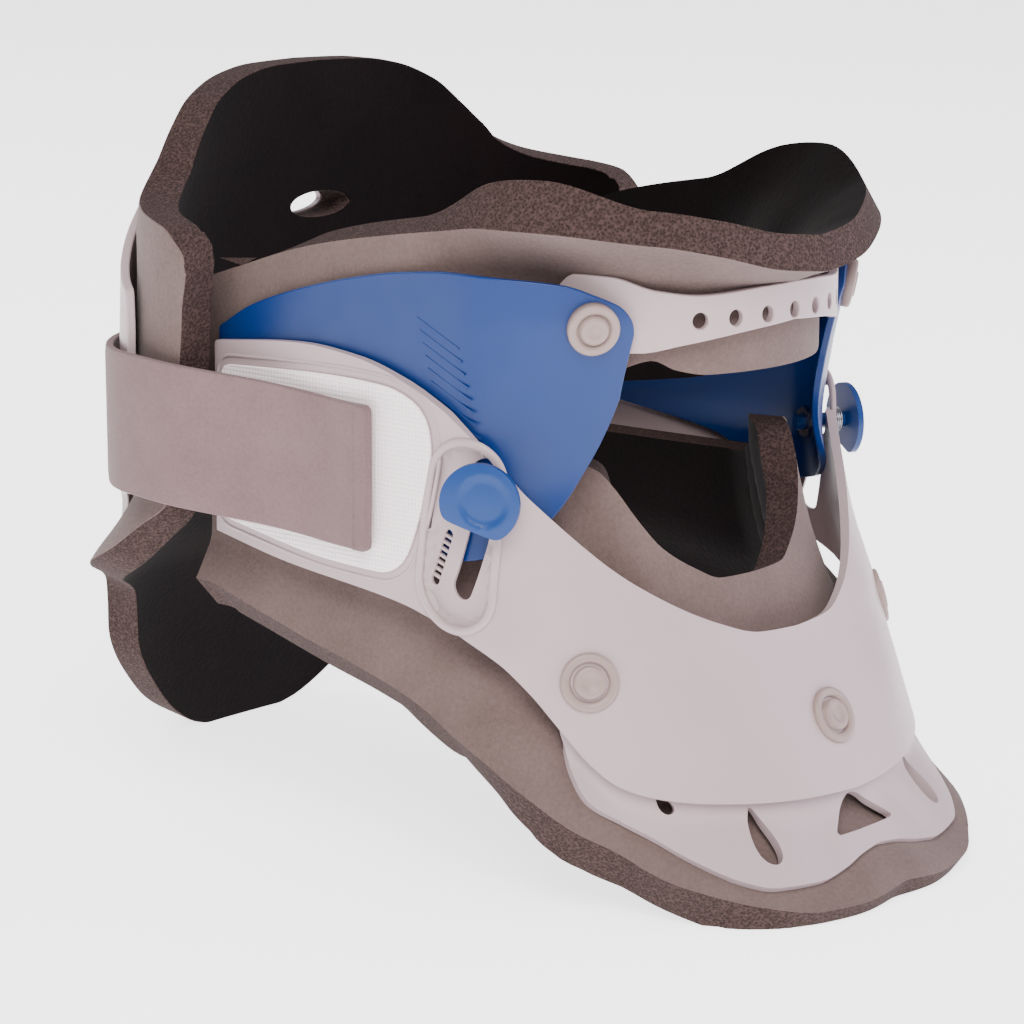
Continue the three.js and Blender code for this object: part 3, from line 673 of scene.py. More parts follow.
def makeRowTree():
    tree = bpy.data.node_groups.new("rowOfPieces", "GeometryNodeTree")
    tree.interface.new_socket(name="Geometry", in_out="INPUT", socket_type="NodeSocketGeometry")
    tree.interface.new_socket(name="Piece", in_out="INPUT", socket_type="NodeSocketObject")
    tree.interface.new_socket(name="Size", in_out="INPUT", socket_type="NodeSocketFloat")
    tree.interface.new_socket(name="Finish", in_out="INPUT", socket_type="NodeSocketMaterial")
    tree.interface.new_socket(name="Geometry", in_out="OUTPUT", socket_type="NodeSocketGeometry")
    given, out = tree.nodes.new("NodeGroupInput"), tree.nodes.new("NodeGroupOutput")
    piece = node(tree, "GeometryNodeObjectInfo", {"Object": given.outputs["Piece"]})
    facing = node(tree, "GeometryNodeInputNamedAttribute", {"Name": "facing"}, data_type="FLOAT_VECTOR")
    along = node(tree, "GeometryNodeInputNamedAttribute", {"Name": "along"}, data_type="FLOAT_VECTOR")
    turn = node(tree, "FunctionNodeAxesToRotation", {0: facing.outputs[0], 1: along.outputs[0]},
                primary_axis="Z", secondary_axis="X")
    placed = node(tree, "GeometryNodeInstanceOnPoints", {
        "Points": given.outputs["Geometry"], "Instance": piece.outputs["Geometry"], "Rotation": turn.outputs[0],
        "Scale": given.outputs["Size"]})
    real = node(tree, "GeometryNodeRealizeInstances", {0: placed.outputs[0]})
    finish = node(tree, "GeometryNodeSetMaterial", {"Geometry": real.outputs[0], "Material": given.outputs["Finish"]})
    tree.links.new(finish.outputs[0], out.inputs[0])
    return tree


rowTree = makeRowTree()


def rowOf(name, mesh, points, facing, along, finish, size=1.0):
    source = bpy.data.objects.new(name + "Source", mesh)
    bpy.context.scene.collection.objects.link(source)
    base = bpy.data.meshes.new(name)
    base.from_pydata([tuple(p) for p in toFrame(points)], [], [])
    for label, vectors in (("facing", facing), ("along", along)):
        attribute = base.attributes.new(label, "FLOAT_VECTOR", "POINT")
        attribute.data.foreach_set("vector", turnToFrame(vectors).ravel())
    piece = bpy.data.objects.new(name, base)
    bpy.context.scene.collection.objects.link(piece)
    mod = piece.modifiers.new("row", "NODES")
    mod.node_group = rowTree
    sockets = {item.name: item.identifier for item in rowTree.interface.items_tree if item.in_out == "INPUT"}
    mod[sockets["Piece"]] = source
    mod[sockets["Size"]] = size
    mod[sockets["Finish"]] = finish
    bpy.context.view_layer.update()
    baked(piece)
    bpy.data.objects.remove(source)
    return piece


# ---- front shell ----

wingEnd = 1 + (84 - 5) / (sideEnd - 5)
foamEnd = 1 + (93 - 5) / (sideEnd - 5)


def edgeLoop(top, foot, end, count=260, start=None):
    u = np.linspace(-end if start is None else start, end, count)
    upper = np.stack([runOf(u), top(np.abs(u))], 1)
    lower = np.stack([runOf(u), foot(np.abs(u))], 1)
    return np.vstack([lower, upper[::-1]])


def spotOnFront(y, z, sign):
    return np.array([sign * runOf(stationAt(y, z)), z])


def outOf(place, facing, s, z, depth=0.0):
    return outwardOf(place, facing, np.array([s]), np.array([z]), np.array([depth]))[0]


shell = {
    "thick": 2.4, "pivot": (78, 118), "slotRadius": 83, "slotEnds": (3.4, 22.6), "stemSlot": 2.7, "headRoom": 6.4,
    "pocketHalf": 9.0, "pocketDeep": 1.7, "pocketTop": (0.6, 111.4), "pocketFoot": (3.2, 86.4),
    "lipRadius": 1.15, "lipGap": 1.3, "lipLift": 0.1, "teeth": 7,
}
shellTop = profile([[0, 71.5], [0.12, 72.2], [0.22, 75.6], [0.41, 86.5], [0.67, 108], [0.88, 122.4],
                    [1.02, 129], [1.17, 134.5], [1.35, 138.5], [1.55, 140], [1.92, 137.5]])
shellFoot = profile([[0, 33.7], [0.2, 34.8], [0.4, 36.9], [0.5, 38.7], [0.58, 41.7], [0.64, 47],
                     [0.7, 55], [0.76, 62.5], [0.85, 69.5], [1.03, 76], [1.2, 80], [1.64, 84.5], [1.92, 89]])
placeWall = onFront(wall)


def slotSpot(degrees, sign):
    a = math.radians(degrees)
    y = shell["pivot"][0] - shell["slotRadius"] * math.cos(a)
    z = shell["pivot"][1] - shell["slotRadius"] * math.sin(a)
    return spotOnFront(y, z, sign)


def slotLoop(sign):  # a round head opening that narrows to the stem's slot
    line = resample([slotSpot(d, sign) for d in np.linspace(*shell["slotEnds"], 30)], 0.4, closed=False)
    run = np.concatenate([[0], np.cumsum(np.hypot(*np.diff(line, axis=0).T))])
    head, stem = shell["headRoom"], shell["stemSlot"]
    ahead = np.gradient(line, axis=0)
    ahead /= np.linalg.norm(ahead, axis=1, keepdims=True)
    side = np.stack([-ahead[:, 1], ahead[:, 0]], 1)
    headHalf = np.sqrt(np.maximum(head ** 2 - (run - 1.5) ** 2, 0))
    half = np.maximum(headHalf, stem)
    turns = np.linspace(0, np.pi, 14)[1:-1]
    foot = [line[-1] + stem * (math.cos(t) * side[-1] + math.sin(t) * ahead[-1]) for t in turns]
    top = [line[0] + ahead[0] * 1.5 + head * (-math.cos(t) * side[0] - math.sin(t) * ahead[0])
           for t in np.linspace(0.25, np.pi - 0.25, 14)]
    return np.vstack([line + side * half[:, None], foot, (line - side * half[:, None])[::-1], top])


def pocketGap(s, z, sign):  # distance to the pocket's centre line
    a = spotOnFront(*shell["pocketTop"], sign)
    b = spotOnFront(*shell["pocketFoot"], sign)
    p = np.stack([s, z], 1)
    t = np.clip(((p - a) @ (b - a)) / ((b - a) @ (b - a)), 0, 1)
    return np.linalg.norm(p - a - t[:, None] * (b - a), axis=1)


def capsule(a, b, radius, count=28):
    d = (b - a) / np.linalg.norm(b - a)
    side = np.array([-d[1], d[0]])
    turns = np.linspace(0, np.pi, count)
    far = [b + radius * (math.cos(t) * side + math.sin(t) * d) for t in turns]
    near = [a + radius * (-math.cos(t) * side - math.sin(t) * d) for t in turns]
    return np.array(far + near)


def circleLoop(centre, radius, count=40):
    t = np.linspace(0, 2 * np.pi, count, endpoint=False)
    return np.stack([centre[0] + radius * np.cos(t), centre[1] + radius * np.sin(t)], 1)


def grooveLine(sign):  # the toothed side of the slot
    ends = [spotOnFront(6.0, 98.6, sign), spotOnFront(10.2, 86.8, sign)]
    return ends[0], ends[1]


def shellRelief(s, z):
    lift = np.zeros_like(s)
    for sign in (-1, 1):
        g = pocketGap(s, z, sign)
        lift -= shell["pocketDeep"] * smooth((shell["pocketHalf"] + 0.5 - g) / 1.0)
    return lift


def makeShell():
    holes = []
    rims = []
    for sign in (-1, 1):
        holes.append(slotLoop(sign))
        a, b = grooveLine(sign)
        holes.append(capsule(a, b, 1.2, 8))
        pivot = spotOnFront(*shell["pivot"], sign)
        holes.append(circleLoop(pivot, 4.4))
        holes.append(capsule(spotOnFront(9.2, 114, sign), spotOnFront(11.9, 99.5, sign), 0.55, 6))
        ends = [spotOnFront(*shell[end], sign) for end in ("pocketTop", "pocketFoot")]
        path = resample(capsule(*ends, shell["pocketHalf"] + shell["lipGap"]), 1.0)
        s, z = path[:, 0], path[:, 1]
        flatDepth = np.full_like(s, -shell["lipLift"])
        outs = outwardOf(placeWall, 1, s, z, flatDepth)
        rims.append(tubePiece("lip", placeWall(s, z, flatDepth), shell["lipRadius"], shellPlastic, sides=10,
                              squash=0.8, outs=outs))
    for side in flapRivets:
        holes.append(circleLoop(side, 3.0, 24))
    piece = sheetPiece("frontShell", placeWall, edgeLoop(shellTop, shellFoot, wingEnd), holes, step=1.5,
                       thick=shell["thick"], relief=shellRelief, materials=(shellPlastic,), bevel=0.45, segments=3)
    return joined("frontShell", [piece, *rims])


def stationFromX(x, z):
    return math.asin(max(-1, min(1, x / float(wallHalf(z))))) * 2 / math.pi


flapRivets = [np.array([float(runOf(u)), z]) for u, z in ((0, 50.6), (-0.597, 65.7), (0.597, 65.7))]
frontShell = makeShell()
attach(frontShell, "front_section")
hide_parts("front_shell")


def boxMesh(name, size):
    work = bmesh.new()
    bmesh.ops.create_cube(work, size=1, matrix=Matrix.Diagonal((*[v / 1000 for v in size], 1)))
    bmesh.ops.bevel(work, geom=work.edges[:], offset=min(size) * 0.18 / 1000, segments=1, affect="EDGES")
    mesh = bpy.data.meshes.new(name)
    work.to_mesh(mesh)
    work.free()
    return mesh


def makeTeeth():
    points, facing, along = [], [], []
    for sign in (-1, 1):
        a, b = grooveLine(sign)
        for k in range(shell["teeth"]):
            s, z = a + (b - a) * (k + 0.5) / shell["teeth"]
            points.append(placeWall(np.array([s]), np.array([z]), np.array([shell["pocketDeep"] + 0.55]))[0])
            facing.append(outOf(placeWall, 1, s, z))
            start, end = placeWall(*np.array([a, b]).T, np.zeros(2))
            ahead = end - start
            along.append(ahead / np.linalg.norm(ahead))
    return rowOf("slotTeeth", boxMesh("tooth", (0.8, 2.8, 0.9)), points, facing, along, shellPlastic)


slotTeeth = makeTeeth()
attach(slotTeeth, "front_section")
print("front shell made")

# ---- hook patches ----

patch = {"thick": 0.8, "proud": 0.95, "beadGap": 2.2, "bead": 0.55}
patchTop = profile([[9.9, 120.5], [11, 125], [15, 129.6], [25.5, 132.8], [41.5, 133.4], [82, 132]])
patchFoot = profile([[9.9, 117], [14, 100.7], [19.2, 89.6], [25.3, 86.6], [41.5, 87.1], [82, 93]])


def patchLoop(sign, grow=0.0):
    y = np.concatenate([np.linspace(9.9, 30, 60), np.linspace(31, 81, 40)])
    upper = np.stack([y, patchTop(y)], 1)
    lower = np.stack([y, patchFoot(y)], 1)
    loop = resample(np.vstack([lower, upper[::-1]]), 1.0)
    for _ in range(6):
        loop = (np.roll(loop, 1, 0) + loop * 2 + np.roll(loop, -1, 0)) / 4
    ahead = np.roll(loop, -1, 0) - np.roll(loop, 1, 0)
    ahead /= np.linalg.norm(ahead, axis=1, keepdims=True)
    loop = loop + grow * np.stack([ahead[:, 1], -ahead[:, 0]], 1)
    return np.array([spotOnFront(a, b, sign) for a, b in loop])


def makePatch(sign, name):
    piece = sheetPiece("hookPatch_" + name, placeWall, patchLoop(sign), step=2.0, depth=-patch["proud"],
                       thick=patch["thick"], materials=(hookCloth,), bevel=0.25, segments=2)
    loop = resample(patchLoop(sign, patch["beadGap"]), 1.2)
    s, z = loop[:, 0], loop[:, 1]
    flatDepth = np.full_like(s, 0.2)
    outs = outwardOf(placeWall, 1, s, z, flatDepth)
    bead = tubePiece("patchBead_" + name, placeWall(s, z, flatDepth), patch["bead"], shellPlastic, sides=8, outs=outs)
    return piece, bead


for sign, name in ((-1, "right"), (1, "left")):
    piece, bead = makePatch(sign, name)
    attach(piece, "front_section")
    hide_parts("hook_patch_" + name)
    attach(bead, "front_section")
print("hook patches made")

# ---- chest flap ----

flap = {"deep": 2.8, "thick": 1.9, "end": 0.705, "hem": 0.55}
flapFoot = profile([[0, 21], [0.05, 20.4], [0.12, 18.6], [0.2, 17.2], [0.29, 17.4], [0.36, 19.6], [0.42, 23],
                    [0.46, 25.6], [0.52, 29.8], [0.585, 33.6], [0.65, 38], [0.686, 45], [0.705, 53]])
flapTop = profile([[0, 60], [0.3, 62], [0.6, 76], [0.705, 73]])


def hem(u, z):  # below the shell the flap and the pad flare outwards
    below = np.maximum(0, shellFoot(np.abs(u)) - 4 - z)
    return flap["hem"] * below ** 2 / (below + 2)


def placeFlap(s, z, depth):
    x, y = wall(uOf(s), z, depth - hem(uOf(s), z))
    return np.stack([x, y, z + 0 * x], 1)


def onFlap(points):  # (x, z) in front view to the flat map
    return np.array([[float(runOf(stationFromX(x, z))), z] for x, z in points])


def dropLoop(cx, cz, width, height, lean):
    t = np.linspace(0, 2 * np.pi, 36, endpoint=False)
    narrow = 0.5 * (1 - np.sin(t)) * 0.72 + 0.28
    x, z = width / 2 * np.cos(t) * narrow, height / 2 * np.sin(t)
    c, d = math.cos(lean), math.sin(lean)
    return onFlap(np.stack([cx + x * c - z * d, cz + x * d + z * c], 1))


def roundedLoop(points, radius, steps=6):
    out = []
    n = len(points)
    for i in range(n):
        p, a, b = [np.array(points[k % n], float) for k in (i, i - 1, i + 1)]
        da, db = (a - p) / np.linalg.norm(a - p), (b - p) / np.linalg.norm(b - p)
        for k in range(steps + 1):
            t = k / steps
            out.append((1 - t) ** 2 * (p + da * radius) + 2 * t * (1 - t) * p + t * t * (p + db * radius))
    return np.array(out)


def flapRelief(s, z):
    x = np.abs(s)
    lobe = 0.9 * np.exp(-((x - 33) / 15) ** 2 - ((z - 24) / 9) ** 2)
    valley = -0.5 * np.exp(-((x - 17) / 5) ** 2 - ((z - 25) / 8) ** 2)
    return lobe + valley


def makeFlap():
    holes = [onFlap(roundedLoop([[-12.4, 24.4], [12.4, 24.4], [1.8, 32], [-1.8, 32]], 2.2))]
    for sign in (-1, 1):
        holes.append(dropLoop(sign * 33, 27.8, 8.6, 12.4, 0))
        holes.append(dropLoop(sign * 52, 37, 4.2, 6, sign * -0.3))
    holes += [circleLoop(side, 3.0, 24) for side in flapRivets]
    return sheetPiece("chestFlap", placeFlap, edgeLoop(flapTop, flapFoot, flap["end"], 160), holes, step=1.5,
                      depth=flap["deep"], thick=flap["thick"], relief=flapRelief, materials=(shellPlastic,),
                      bevel=0.55, segments=3)


chestFlap = makeFlap()
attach(chestFlap, "front_section")
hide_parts("chest_flap")
print("chest flap made")

# ---- chest pad ----

pad = {"thick": 9, "deep": 7.2, "lift": 1.6, "lean": 3.4, "spread": 1.6, "toe": 3.4}
chestTop = profile([[0, 83], [0.12, 83.4], [0.19, 86.5], [0.28, 92.5], [0.34, 100], [0.39, 107.5],
                    [0.44, 112], [0.5, 113.5], [0.7, 110], [0.9, 104], [1.1, 100], [1.95, 99]])
chestFoot = profile([[0, 11.5], [0.13, 10], [0.22, 10.2], [0.34, 13], [0.42, 16], [0.51, 19.6], [0.59, 24.6],
                     [0.68, 30], [0.78, 38], [0.9, 46], [1.1, 54.5], [1.33, 60], [1.57, 64.5], [1.82, 70], [1.95, 73]])


def chestDepth(s, z):  # set back behind the buttons
    u = np.abs(uOf(s))
    return pad["deep"] + 6.4 * smooth((z - 64) / 14) * smooth((u - 0.34) / 0.2) * smooth((1.15 - u) / 0.25)


def placeChest(s, z, depth):
    x, y = wall(uOf(s), z, chestDepth(s, z) + depth - padHem(uOf(s), z))
    return np.stack([x, y, z + 0 * x], 1)


def padHem(u, z):  # the pad reaches out past the flap
    foot = flapFoot(np.abs(u))
    toe = smooth((foot + 1 - z) / 6) * smooth((0.62 - np.abs(u)) / 0.2)
    return hem(u, z) + pad["spread"] * smooth((foot + 7 - z) / 8) + pad["toe"] * toe


def chestFlare(s, z):  # the cut edge leans out under the flap
    low = smooth(1 - (z - chestEdge(np.abs(uOf(s)))) / 8)
    return np.stack([0 * s, 0 * s, -pad["lean"] * low], 1)


def chestEdge(a):
    return chestFoot(a) + pad["lift"]


chestPad = sheetPiece("chestPad", placeChest, edgeLoop(chestTop, chestEdge, foamEnd), step=2.6, thick=pad["thick"],
                      materials=foamLook, bevel=1.0, segments=3, flare=chestFlare)
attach(chestPad, "front_section")
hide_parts("chest_pad")
print("chest pad made")

# ---- blue height plates ----

plate = {"deep": 3.1, "front": 1.2, "thick": 1.9, "ridges": 8, "ridgeHigh": 0.25}
plateTop = profile([[0.4, 147], [0.415, 150.5], [0.45, 153.8], [0.54, 156.8], [0.64, 159.3], [0.8, 160.6],
                    [1.03, 161.3],
                    [1.22, 160], [1.4, 157.3], [1.6, 153], [1.8, 147], [1.92, 141]])
plateFoot = profile([[0.4, 131], [0.415, 125], [0.44, 119], [0.48, 113.5], [0.54, 107.8], [0.62, 102.2], [0.7, 98],
                     [0.85, 93.5], [1, 92], [1.15, 95], [1.3, 101], [1.6, 105], [1.92, 108]])


def plateDepth(s):
    return plate["deep"] + plate["front"] * smooth((1.05 - np.abs(uOf(s))) / 0.35)


def placePlate(s, z, depth):
    x, y = wall(uOf(s), z, plateDepth(s) + depth)
    return np.stack([x, y, z + 0 * x], 1)


def plateLoop(sign):
    u = np.concatenate([np.linspace(0.4, 0.5, 40), np.linspace(0.505, wingEnd + 0.02, 160)])
    at = runOf(u + 0.025 * (1 - smooth((u - 0.4) / 0.22)))
    upper = np.stack([at, plateTop(u)], 1)
    lower = np.stack([at, plateFoot(u)], 1)
    return np.vstack([lower, upper[::-1]]) * (sign, 1)


chinAxis = {"station": 0.55, "z": 149}


def chinSpot(sign):
    return np.array([sign * float(runOf(chinAxis["station"])), chinAxis["z"]])


for sign, name in ((-1, "right"), (1, "left")):
    holes = [circleLoop(spotOnFront(*shell["pivot"], sign), 4.4), circleLoop(chinSpot(sign), 2.9, 24)]
    piece = sheetPiece("heightPlate_" + name, placePlate, plateLoop(sign), holes, step=1.8, thick=plate["thick"],
                       materials=(plateBlue,), bevel=0.4, segments=3)
    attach(piece, "height_adjuster")
    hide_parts("height_plate_" + name)


def makeRidges():  # short grip ridges moulded on each plate
    points, facing, along = [], [], []
    for sign in (-1, 1):
        for k in range(plate["ridges"]):
            z = 146.5 - 3.0 * k
            y = 11 - 0.9 * k
            s = spotOnFront(y, z, sign)[0]
            points.append(placePlate(np.array([s]), np.array([z]), np.array([0.0]))[0])
            facing.append(outOf(placePlate, 1, s, z))
            along.append((0, -0.9, -0.42))
    return rowOf("plateRidges", boxMesh("ridge", (15, 0.5, plate["ridgeHigh"])), points, facing, along, plateBlue)


plateRidges = makeRidges()
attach(plateRidges, "height_adjuster")
print("height plates made")

# ---- jaw and chin foam: one piece of foam, its rim turned out over the chin band ----

jaw = {"thick": 9, "half": 64.5, "front": -53.5, "foot": 154, "lift": 4.4}
jawTop = profile([[0, 168], [0.17, 170], [0.33, 174], [0.5, 177], [0.75, 178.5], [0.95, 177.5],
                  [1.1, 174.8], [1.27, 171.5], [1.47, 167.5], [1.66, 163], [2, 153]])
jawFoot = profile([[0, 135.5], [0.3, 135.5], [0.42, 137], [0.5, 139.5], [0.6, 137.5], [0.8, 131], [1, 125],
                   [1.3, 117.5], [2, 109]])
jawDrop = profile([[0, 8], [0.5, 8], [0.75, 7], [1, 5.2], [1.3, 3], [1.7, 1], [2, 0.5]])


def placeJaw(s, z, depth):
    u = uOf(s)
    a = np.abs(u)
    rim = jawTop(a) - jawDrop(a)
    t = np.maximum((z - jaw["foot"]) / (rim - jaw["foot"]), 0)
    lean = np.where(rim > jaw["foot"] + 2, t ** 1.7, 0)
    beside = mix(47.3, 65.4, smooth((a - 0.73) / 0.53))
    x, y = station(u, mix(beside, jaw["half"], lean) - depth, 5, mix(-39.6, jaw["front"], lean) + depth)
    return np.stack([x, y, z + 0 * x], 1)


def jawRim(a):
    return jawTop(a) - jawDrop(a)


def jawFlare(s, z):  # the cut edge faces outwards beside the jaw
    a = np.abs(uOf(s))
    high = smooth(1 - (jawRim(a) - z) / 7) * smooth((a - 0.5) / 0.3) * smooth((2.1 - a) / 0.5)
    return np.stack([0 * s, 0 * s, jaw["lift"] * high], 1)


jawFoam = sheetPiece("jawFoam", placeJaw, edgeLoop(jawRim, jawFoot, foamEnd), step=2.4, thick=jaw["thick"],
                     materials=foamLook, bevel=1.0, segments=3, flare=jawFlare)
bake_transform(jawFoam)
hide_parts("jaw_pad_right", "jaw_pad_left", "chin_pad")
print("jaw foam made")

# ---- chin band ----

bandTop = profile([[0, 157], [0.13, 156.7], [0.35, 155.6], [0.5, 157], [0.64, 160.3], [0.76, 160.8], [0.82, 157]])
bandFoot = profile([[0, 147.5], [0.18, 146.3], [0.41, 143.7], [0.55, 142], [0.7, 142], [0.82, 147]])
placeBand = onFront(bandWall)


def makeBand():
    holes = []
    for u in (-0.36, -0.24, -0.12, 0, 0.12, 0.24, 0.36):
        z = 150 - 1.5 * abs(u)
        t = np.linspace(0, 2 * np.pi, 28, endpoint=False)
        wide = 1.9 * 1.35          # the flat map is laid out on the wider wall
        holes.append(np.stack([float(runOf(u)) + wide * np.cos(t), z + 2.0 * np.sin(t)], 1))
    return sheetPiece("chinBand", placeBand, edgeLoop(bandTop, bandFoot, 0.82, 160), holes, step=1.5,
                      thick=band["thick"], materials=(shellPlastic,), bevel=0.45, segments=3)


chinBand = makeBand()
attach(chinBand, "chin_support")
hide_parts("chin_band")
print("chin band made")

# ---- back section ----

back = {"foam": 10, "shell": 2.4, "fit": 1.5, "slot": (0, 163, 23, 7)}
backTop = profile([[0, 202], [18, 201.5], [30, 199.5], [41, 194.5], [48, 187.5], [54, 180.5], [59, 175.8],
                   [64, 173], [72, 170.5], [78, 169], [82, 167.5], [86, 162]])
backFoot = profile([[0, 14], [12, 17], [20, 23], [28.5, 35], [34, 46], [37.6, 58], [42, 67], [51, 73],
                    [65, 82], [72, 90], [79, 98.5], [81.5, 128], [83, 145], [86, 157]])
backShellTop = profile([[0, 184], [30, 182], [45, 176], [56, 164], [66, 153], [70, 150]])
backShellFoot = profile([[0, 36], [20, 42], [34, 62], [45, 84], [58, 95], [70, 98]])


def backLoop(top, foot, end, count=240):
    d = np.linspace(-end, end, count)
    upper = np.stack([backRunOf(d), top(np.abs(d))], 1)
    lower = np.stack([backRunOf(d), foot(np.abs(d))], 1)
    return np.vstack([lower, upper[::-1]])


def backOval(x, z, width, height):
    t = np.linspace(0, 2 * np.pi, 36, endpoint=False)
    return np.stack([x + width / 2 * np.cos(t), z + height / 2 * np.sin(t)], 1)


backPad = sheetPiece("backPad", onBack, backLoop(backTop, backFoot, 86), [backOval(*back["slot"])], step=2.8,
                     thick=back["foam"], facing=-1, materials=foamLook, bevel=1.0, segments=3)
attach(backPad, "back_section")
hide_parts("back_pad")

backHoles = [backOval(*back["slot"])]
for x in (-24, -12, 0, 12, 24):
    backHoles.append(capsule(np.array([x, 74.5]), np.array([x, 89.5]), 2.5, 10))
backShell = sheetPiece("backShell", onBack, backLoop(backShellTop, backShellFoot, 70), backHoles, step=2.0,
                       depth=-back["shell"] - back["fit"], thick=back["shell"], facing=-1, materials=(shellPlastic,),
                       bevel=0.5, segments=3)
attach(backShell, "back_section")
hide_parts("back_shell")
print("back section made")

# ---- straps ----

strap = {"wide": 36, "thick": 2.2, "out": 5.6, "mid": 117, "endMid": 110, "tabEnd": 27, "tabFace": 74.3, "hem": 5.0}


def strapLine(sign):  # inner face of the strap, from the back to its free end
    d = np.linspace(22, 70, 60) * sign
    x, y = backWall(d, np.full_like(d, strap["mid"]), -strap["out"])
    face = strap["tabFace"]
    rest = np.array([(88.6, 91), (88.2, 82), (83.5, 71), (77, 59), (face, 48), (face, 38), (face, strap["tabEnd"])])
    rest = rest * (sign, 1)
    line = resample(np.vstack([np.stack([x, y], 1), rest]), 0.8, closed=False)
    for _ in range(60):
        line[1:-1] = (line[:-2] + 2 * line[1:-1] + line[2:]) / 4
    return line


def makeStrap(sign, name):
    line = strapLine(sign)
    run = np.concatenate([[0], np.cumsum(np.hypot(*np.diff(line, axis=0).T))])
    length = run[-1]
    ahead = np.gradient(line, axis=0)
    ahead /= np.linalg.norm(ahead, axis=1, keepdims=True)
    out = np.stack([-ahead[:, 1], ahead[:, 0]], 1) * sign
    tabStart = run[np.argmin(np.abs(line[:, 1] - 101) + (np.abs(line[:, 0]) < 70) * 1e3)]

    def place(l, z, depth):
        x, y = np.interp(l, run, line[:, 0]), np.interp(l, run, line[:, 1])
        ox, oy = np.interp(l, run, out[:, 0]), np.interp(l, run, out[:, 1])
        drop = (strap["endMid"] - strap["mid"]) * smooth((l - tabStart) / (length - tabStart))
        lean = sign * (wallHalf(z + drop) - wallHalf(117)) * smooth((l - tabStart) / 30)
        return np.stack([x - depth * ox + lean, y - depth * oy, z + drop], 1)

    half = strap["wide"] / 2

    def relief(l, z):  # a folded hem at the free end, and a little slack in the run
        hem = 0.7 * smooth((l - (length - strap["hem"])) / 0.8)
        return hem - 0.25 * np.exp(-((np.abs(z - strap["mid"]) - half) / 1.2) ** 2) + 0.12 * np.sin(l / 17.0)

    outline = roundedLoop([[0, strap["mid"] - half], [length, strap["mid"] - half], [length, strap["mid"] + half],
                           [0, strap["mid"] + half]], 1.4)
    piece = sheetPiece("strap_" + name, place, outline, step=1.8, depth=-strap["thick"], thick=strap["thick"],
                       facing=-sign, relief=relief, materials=(strapCloth,), bevel=0.5, segments=3)
    points, facing, along = [], [], []
    for z in np.arange(strap["mid"] - half + 2, strap["mid"] + half - 1, 2.1):
        l = length - strap["hem"] + 1.3
        points.append(place(np.array([l]), np.array([z]), np.array([-strap["thick"] - 0.72]))[0])
        facing.append(outOf(place, -sign, l, z))
        along.append((0, 0, 1))
    stitches = rowOf("stitches_" + name, boxMesh("stitch", (1.5, 0.42, 0.3)), points, facing, along, strapCloth)
    piece = joined("strap_" + name, [piece, stitches])
    return piece, length


for sign, name in ((-1, "right"), (1, "left")):
    piece, length = makeStrap(sign, name)
    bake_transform(piece)
    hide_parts("strap_band_" + name, "strap_tab_" + name)
    print("strap", name, "length", round(length, 1))

# ---- rivets ----

bossProfile = [(0, -1.5), (7.15, -1.5), (7.15, 0.5), (6.8, 0.95), (6.2, 1.1), (5.2, 0.95), (4.75, 0.5), (4.55, -0.2),
               (4.05, -0.2), (3.95, 1.2), (3.6, 1.6), (2.3, 1.65), (1.9, 1.35), (0.6, 1.25), (0, 1.25)]
discProfile = [(0, -1.0), (6.3, -1.0), (6.35, 1.4), (6.1, 1.9), (5.6, 2.1), (4.6, 1.95), (4.1, 1.6), (3.95, 1.0),
               (3.55, 1.0), (3.45, 2.2), (3.1, 2.6), (1.9, 2.65), (1.5, 2.3), (0, 2.2)]
domeProfile = [(0, 0), (4.6, 0), (4.6, 0.6), (4.2, 1.3), (3.2, 1.9), (1.6, 2.2), (0, 2.25)]


def rivetRow(name, mesh, place, facing, spots, depth, finish):
    points = [place(np.array([s]), np.array([z]), np.array([float(depth)]))[0] for s, z in spots]
    outs = [outOf(place, facing, s, z) for s, z in spots]
    return rowOf(name, mesh, points, outs, [(0, 0, 1)] * len(spots), finish)


flapRow = rivetRow("flapRivets", turnedMesh("boss", bossProfile), placeWall, 1, flapRivets, 0, rivetPlastic)
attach(flapRow, "front_section")
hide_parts("flap_rivet_centre", "flap_rivet_right", "flap_rivet_left")
chinRow = rivetRow("chinRivets", turnedMesh("chinDisc", discProfile), placePlate, 1, [chinSpot(-1), chinSpot(1)], 0,
                   rivetPlastic)
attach(chinRow, "height_adjuster")
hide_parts("chin_rivet_right", "chin_rivet_left")
strapSpots = [(float(backRunOf(sign * 30)), strap["mid"] + dz) for sign in (-1, 1) for dz in (-9, 9)]
strapRow = rivetRow("strapRivets", turnedMesh("dome", domeProfile), onBack, -1, strapSpots,
                    -(strap["out"] + strap["thick"]), rivetPlastic)
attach(strapRow, "back_section")
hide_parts(*[f"strap_rivet_{side}_{row}" for side in ("right", "left") for row in ("upper", "lower")])
print("rivets made")

# ---- knobs ----

knob = {"radius": 9.8, "face": 3.7, "gap": 3.5, "stem": 2.1, "inside": 9.3, "coil": 3.1, "wire": 0.3,
        "dish": 6.3, "chord": 6.8, "angle": 6.7, "turn": -20}


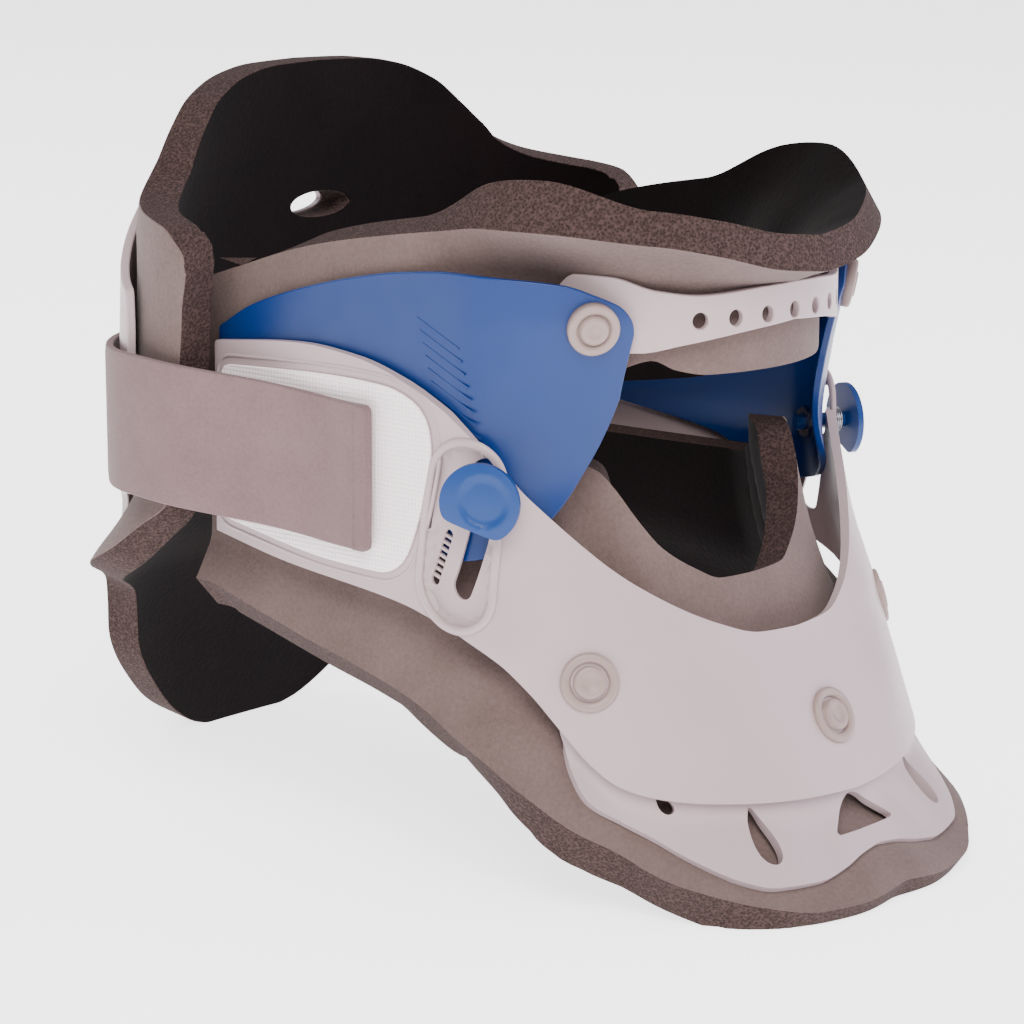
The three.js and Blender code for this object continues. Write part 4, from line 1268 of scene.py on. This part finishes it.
def makeKnob(sign, name):
    s, z = slotSpot(knob["angle"], sign)
    centre = placeWall(np.array([s]), np.array([z]), np.array([0.0]))[0]
    out = outOf(placeWall, 1, s, z)
    out[2] = 0
    out /= np.linalg.norm(out)
    up = np.array([0, 0, 1.0])
    right = np.cross(up, out)

    def place(a, b, depth):
        return centre + np.outer(a, right) + np.outer(b, up) + np.outer(knob["gap"] + knob["face"] - depth, out)

    r = knob["radius"]
    t = np.linspace(0, 2 * np.pi, 120, endpoint=False)
    disc = np.stack([r * np.cos(t), r * np.sin(t)], 1)
    disc[:, 1] = np.maximum(disc[:, 1], -knob["chord"])
    a = math.radians(knob["turn"] * -sign)
    spin = np.array([[math.cos(a), math.sin(a)], [-math.sin(a), math.cos(a)]])
    disc = resample(disc @ spin, 0.7)
    for _ in range(4):
        disc = (np.roll(disc, 1, 0) + 2 * disc + np.roll(disc, -1, 0)) / 4

    def relief(p, q):  # domed face with a thumb dish
        far = np.hypot(p, q)
        dome = -0.9 * (far / r) ** 2
        dish = -0.8 * smooth((knob["dish"] - np.hypot(p - 1.2, q - 0.6)) / 1.2)
        return dome + dish

    head = sheetPiece("knob_" + name, place, disc, step=0.9, thick=knob["face"] - 1.2, relief=relief,
                      materials=(knobBlue,), bevel=0.8, segments=4)
    w = np.linspace(0, 2 * np.pi, 33)[:-1]
    post = resample(knob["stem"] * np.stack([np.cos(w), np.sin(w)], 1), 0.5)
    stem = sheetPiece("stem", place, post, step=0.8, depth=knob["face"] - 1.6, thick=knob["gap"] + knob["inside"] + 1.6,
                      materials=(knobBlue,), bevel=0.3)
    turns = np.linspace(0, 5 * 2 * np.pi, 160)
    lift = knob["face"] + np.linspace(0.1, knob["gap"] - 0.6, 160)
    path = place(knob["coil"] * np.cos(turns), knob["coil"] * np.sin(turns), lift)
    coil = tubePiece("spring_" + name, path, knob["wire"], springSteel, closed=False, outs=np.tile(out, (160, 1)))
    return joined("knob_" + name, [head, stem]), coil


for sign, name in ((-1, "right"), (1, "left")):
    head, coil = makeKnob(sign, name)
    for piece, part, slot in ((head, "button_", "plate"), (coil, "button_spring_", "spring")):
        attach(piece, "push_button_" + name)
        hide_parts(part + name)
    for part, finish in (("button_clip_", springSteel),
                          ("chin_rivet_cap_", rivetPlastic), ("hinge_pin_", rivetPlastic), ("strap_hook_", hookCloth)):
        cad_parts[part + name].data.materials.clear()
        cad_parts[part + name].data.materials.append(finish)
for name in ("centre", "right", "left"):
    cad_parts["flap_rivet_cap_" + name].data.materials.clear()
    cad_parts["flap_rivet_cap_" + name].data.materials.append(rivetPlastic)
print("knobs made")

# ---- floor ----

floorMesh = bpy.data.meshes.new("floor")
floorMesh.from_pydata([(-6, -6, 0), (6, -6, 0), (6, 6, 0), (-6, 6, 0)], [], [(0, 1, 2, 3)])
floorMesh.materials.append(floorMaterial())
floor = bpy.data.objects.new("floor", floorMesh)
bpy.context.scene.collection.objects.link(floor)
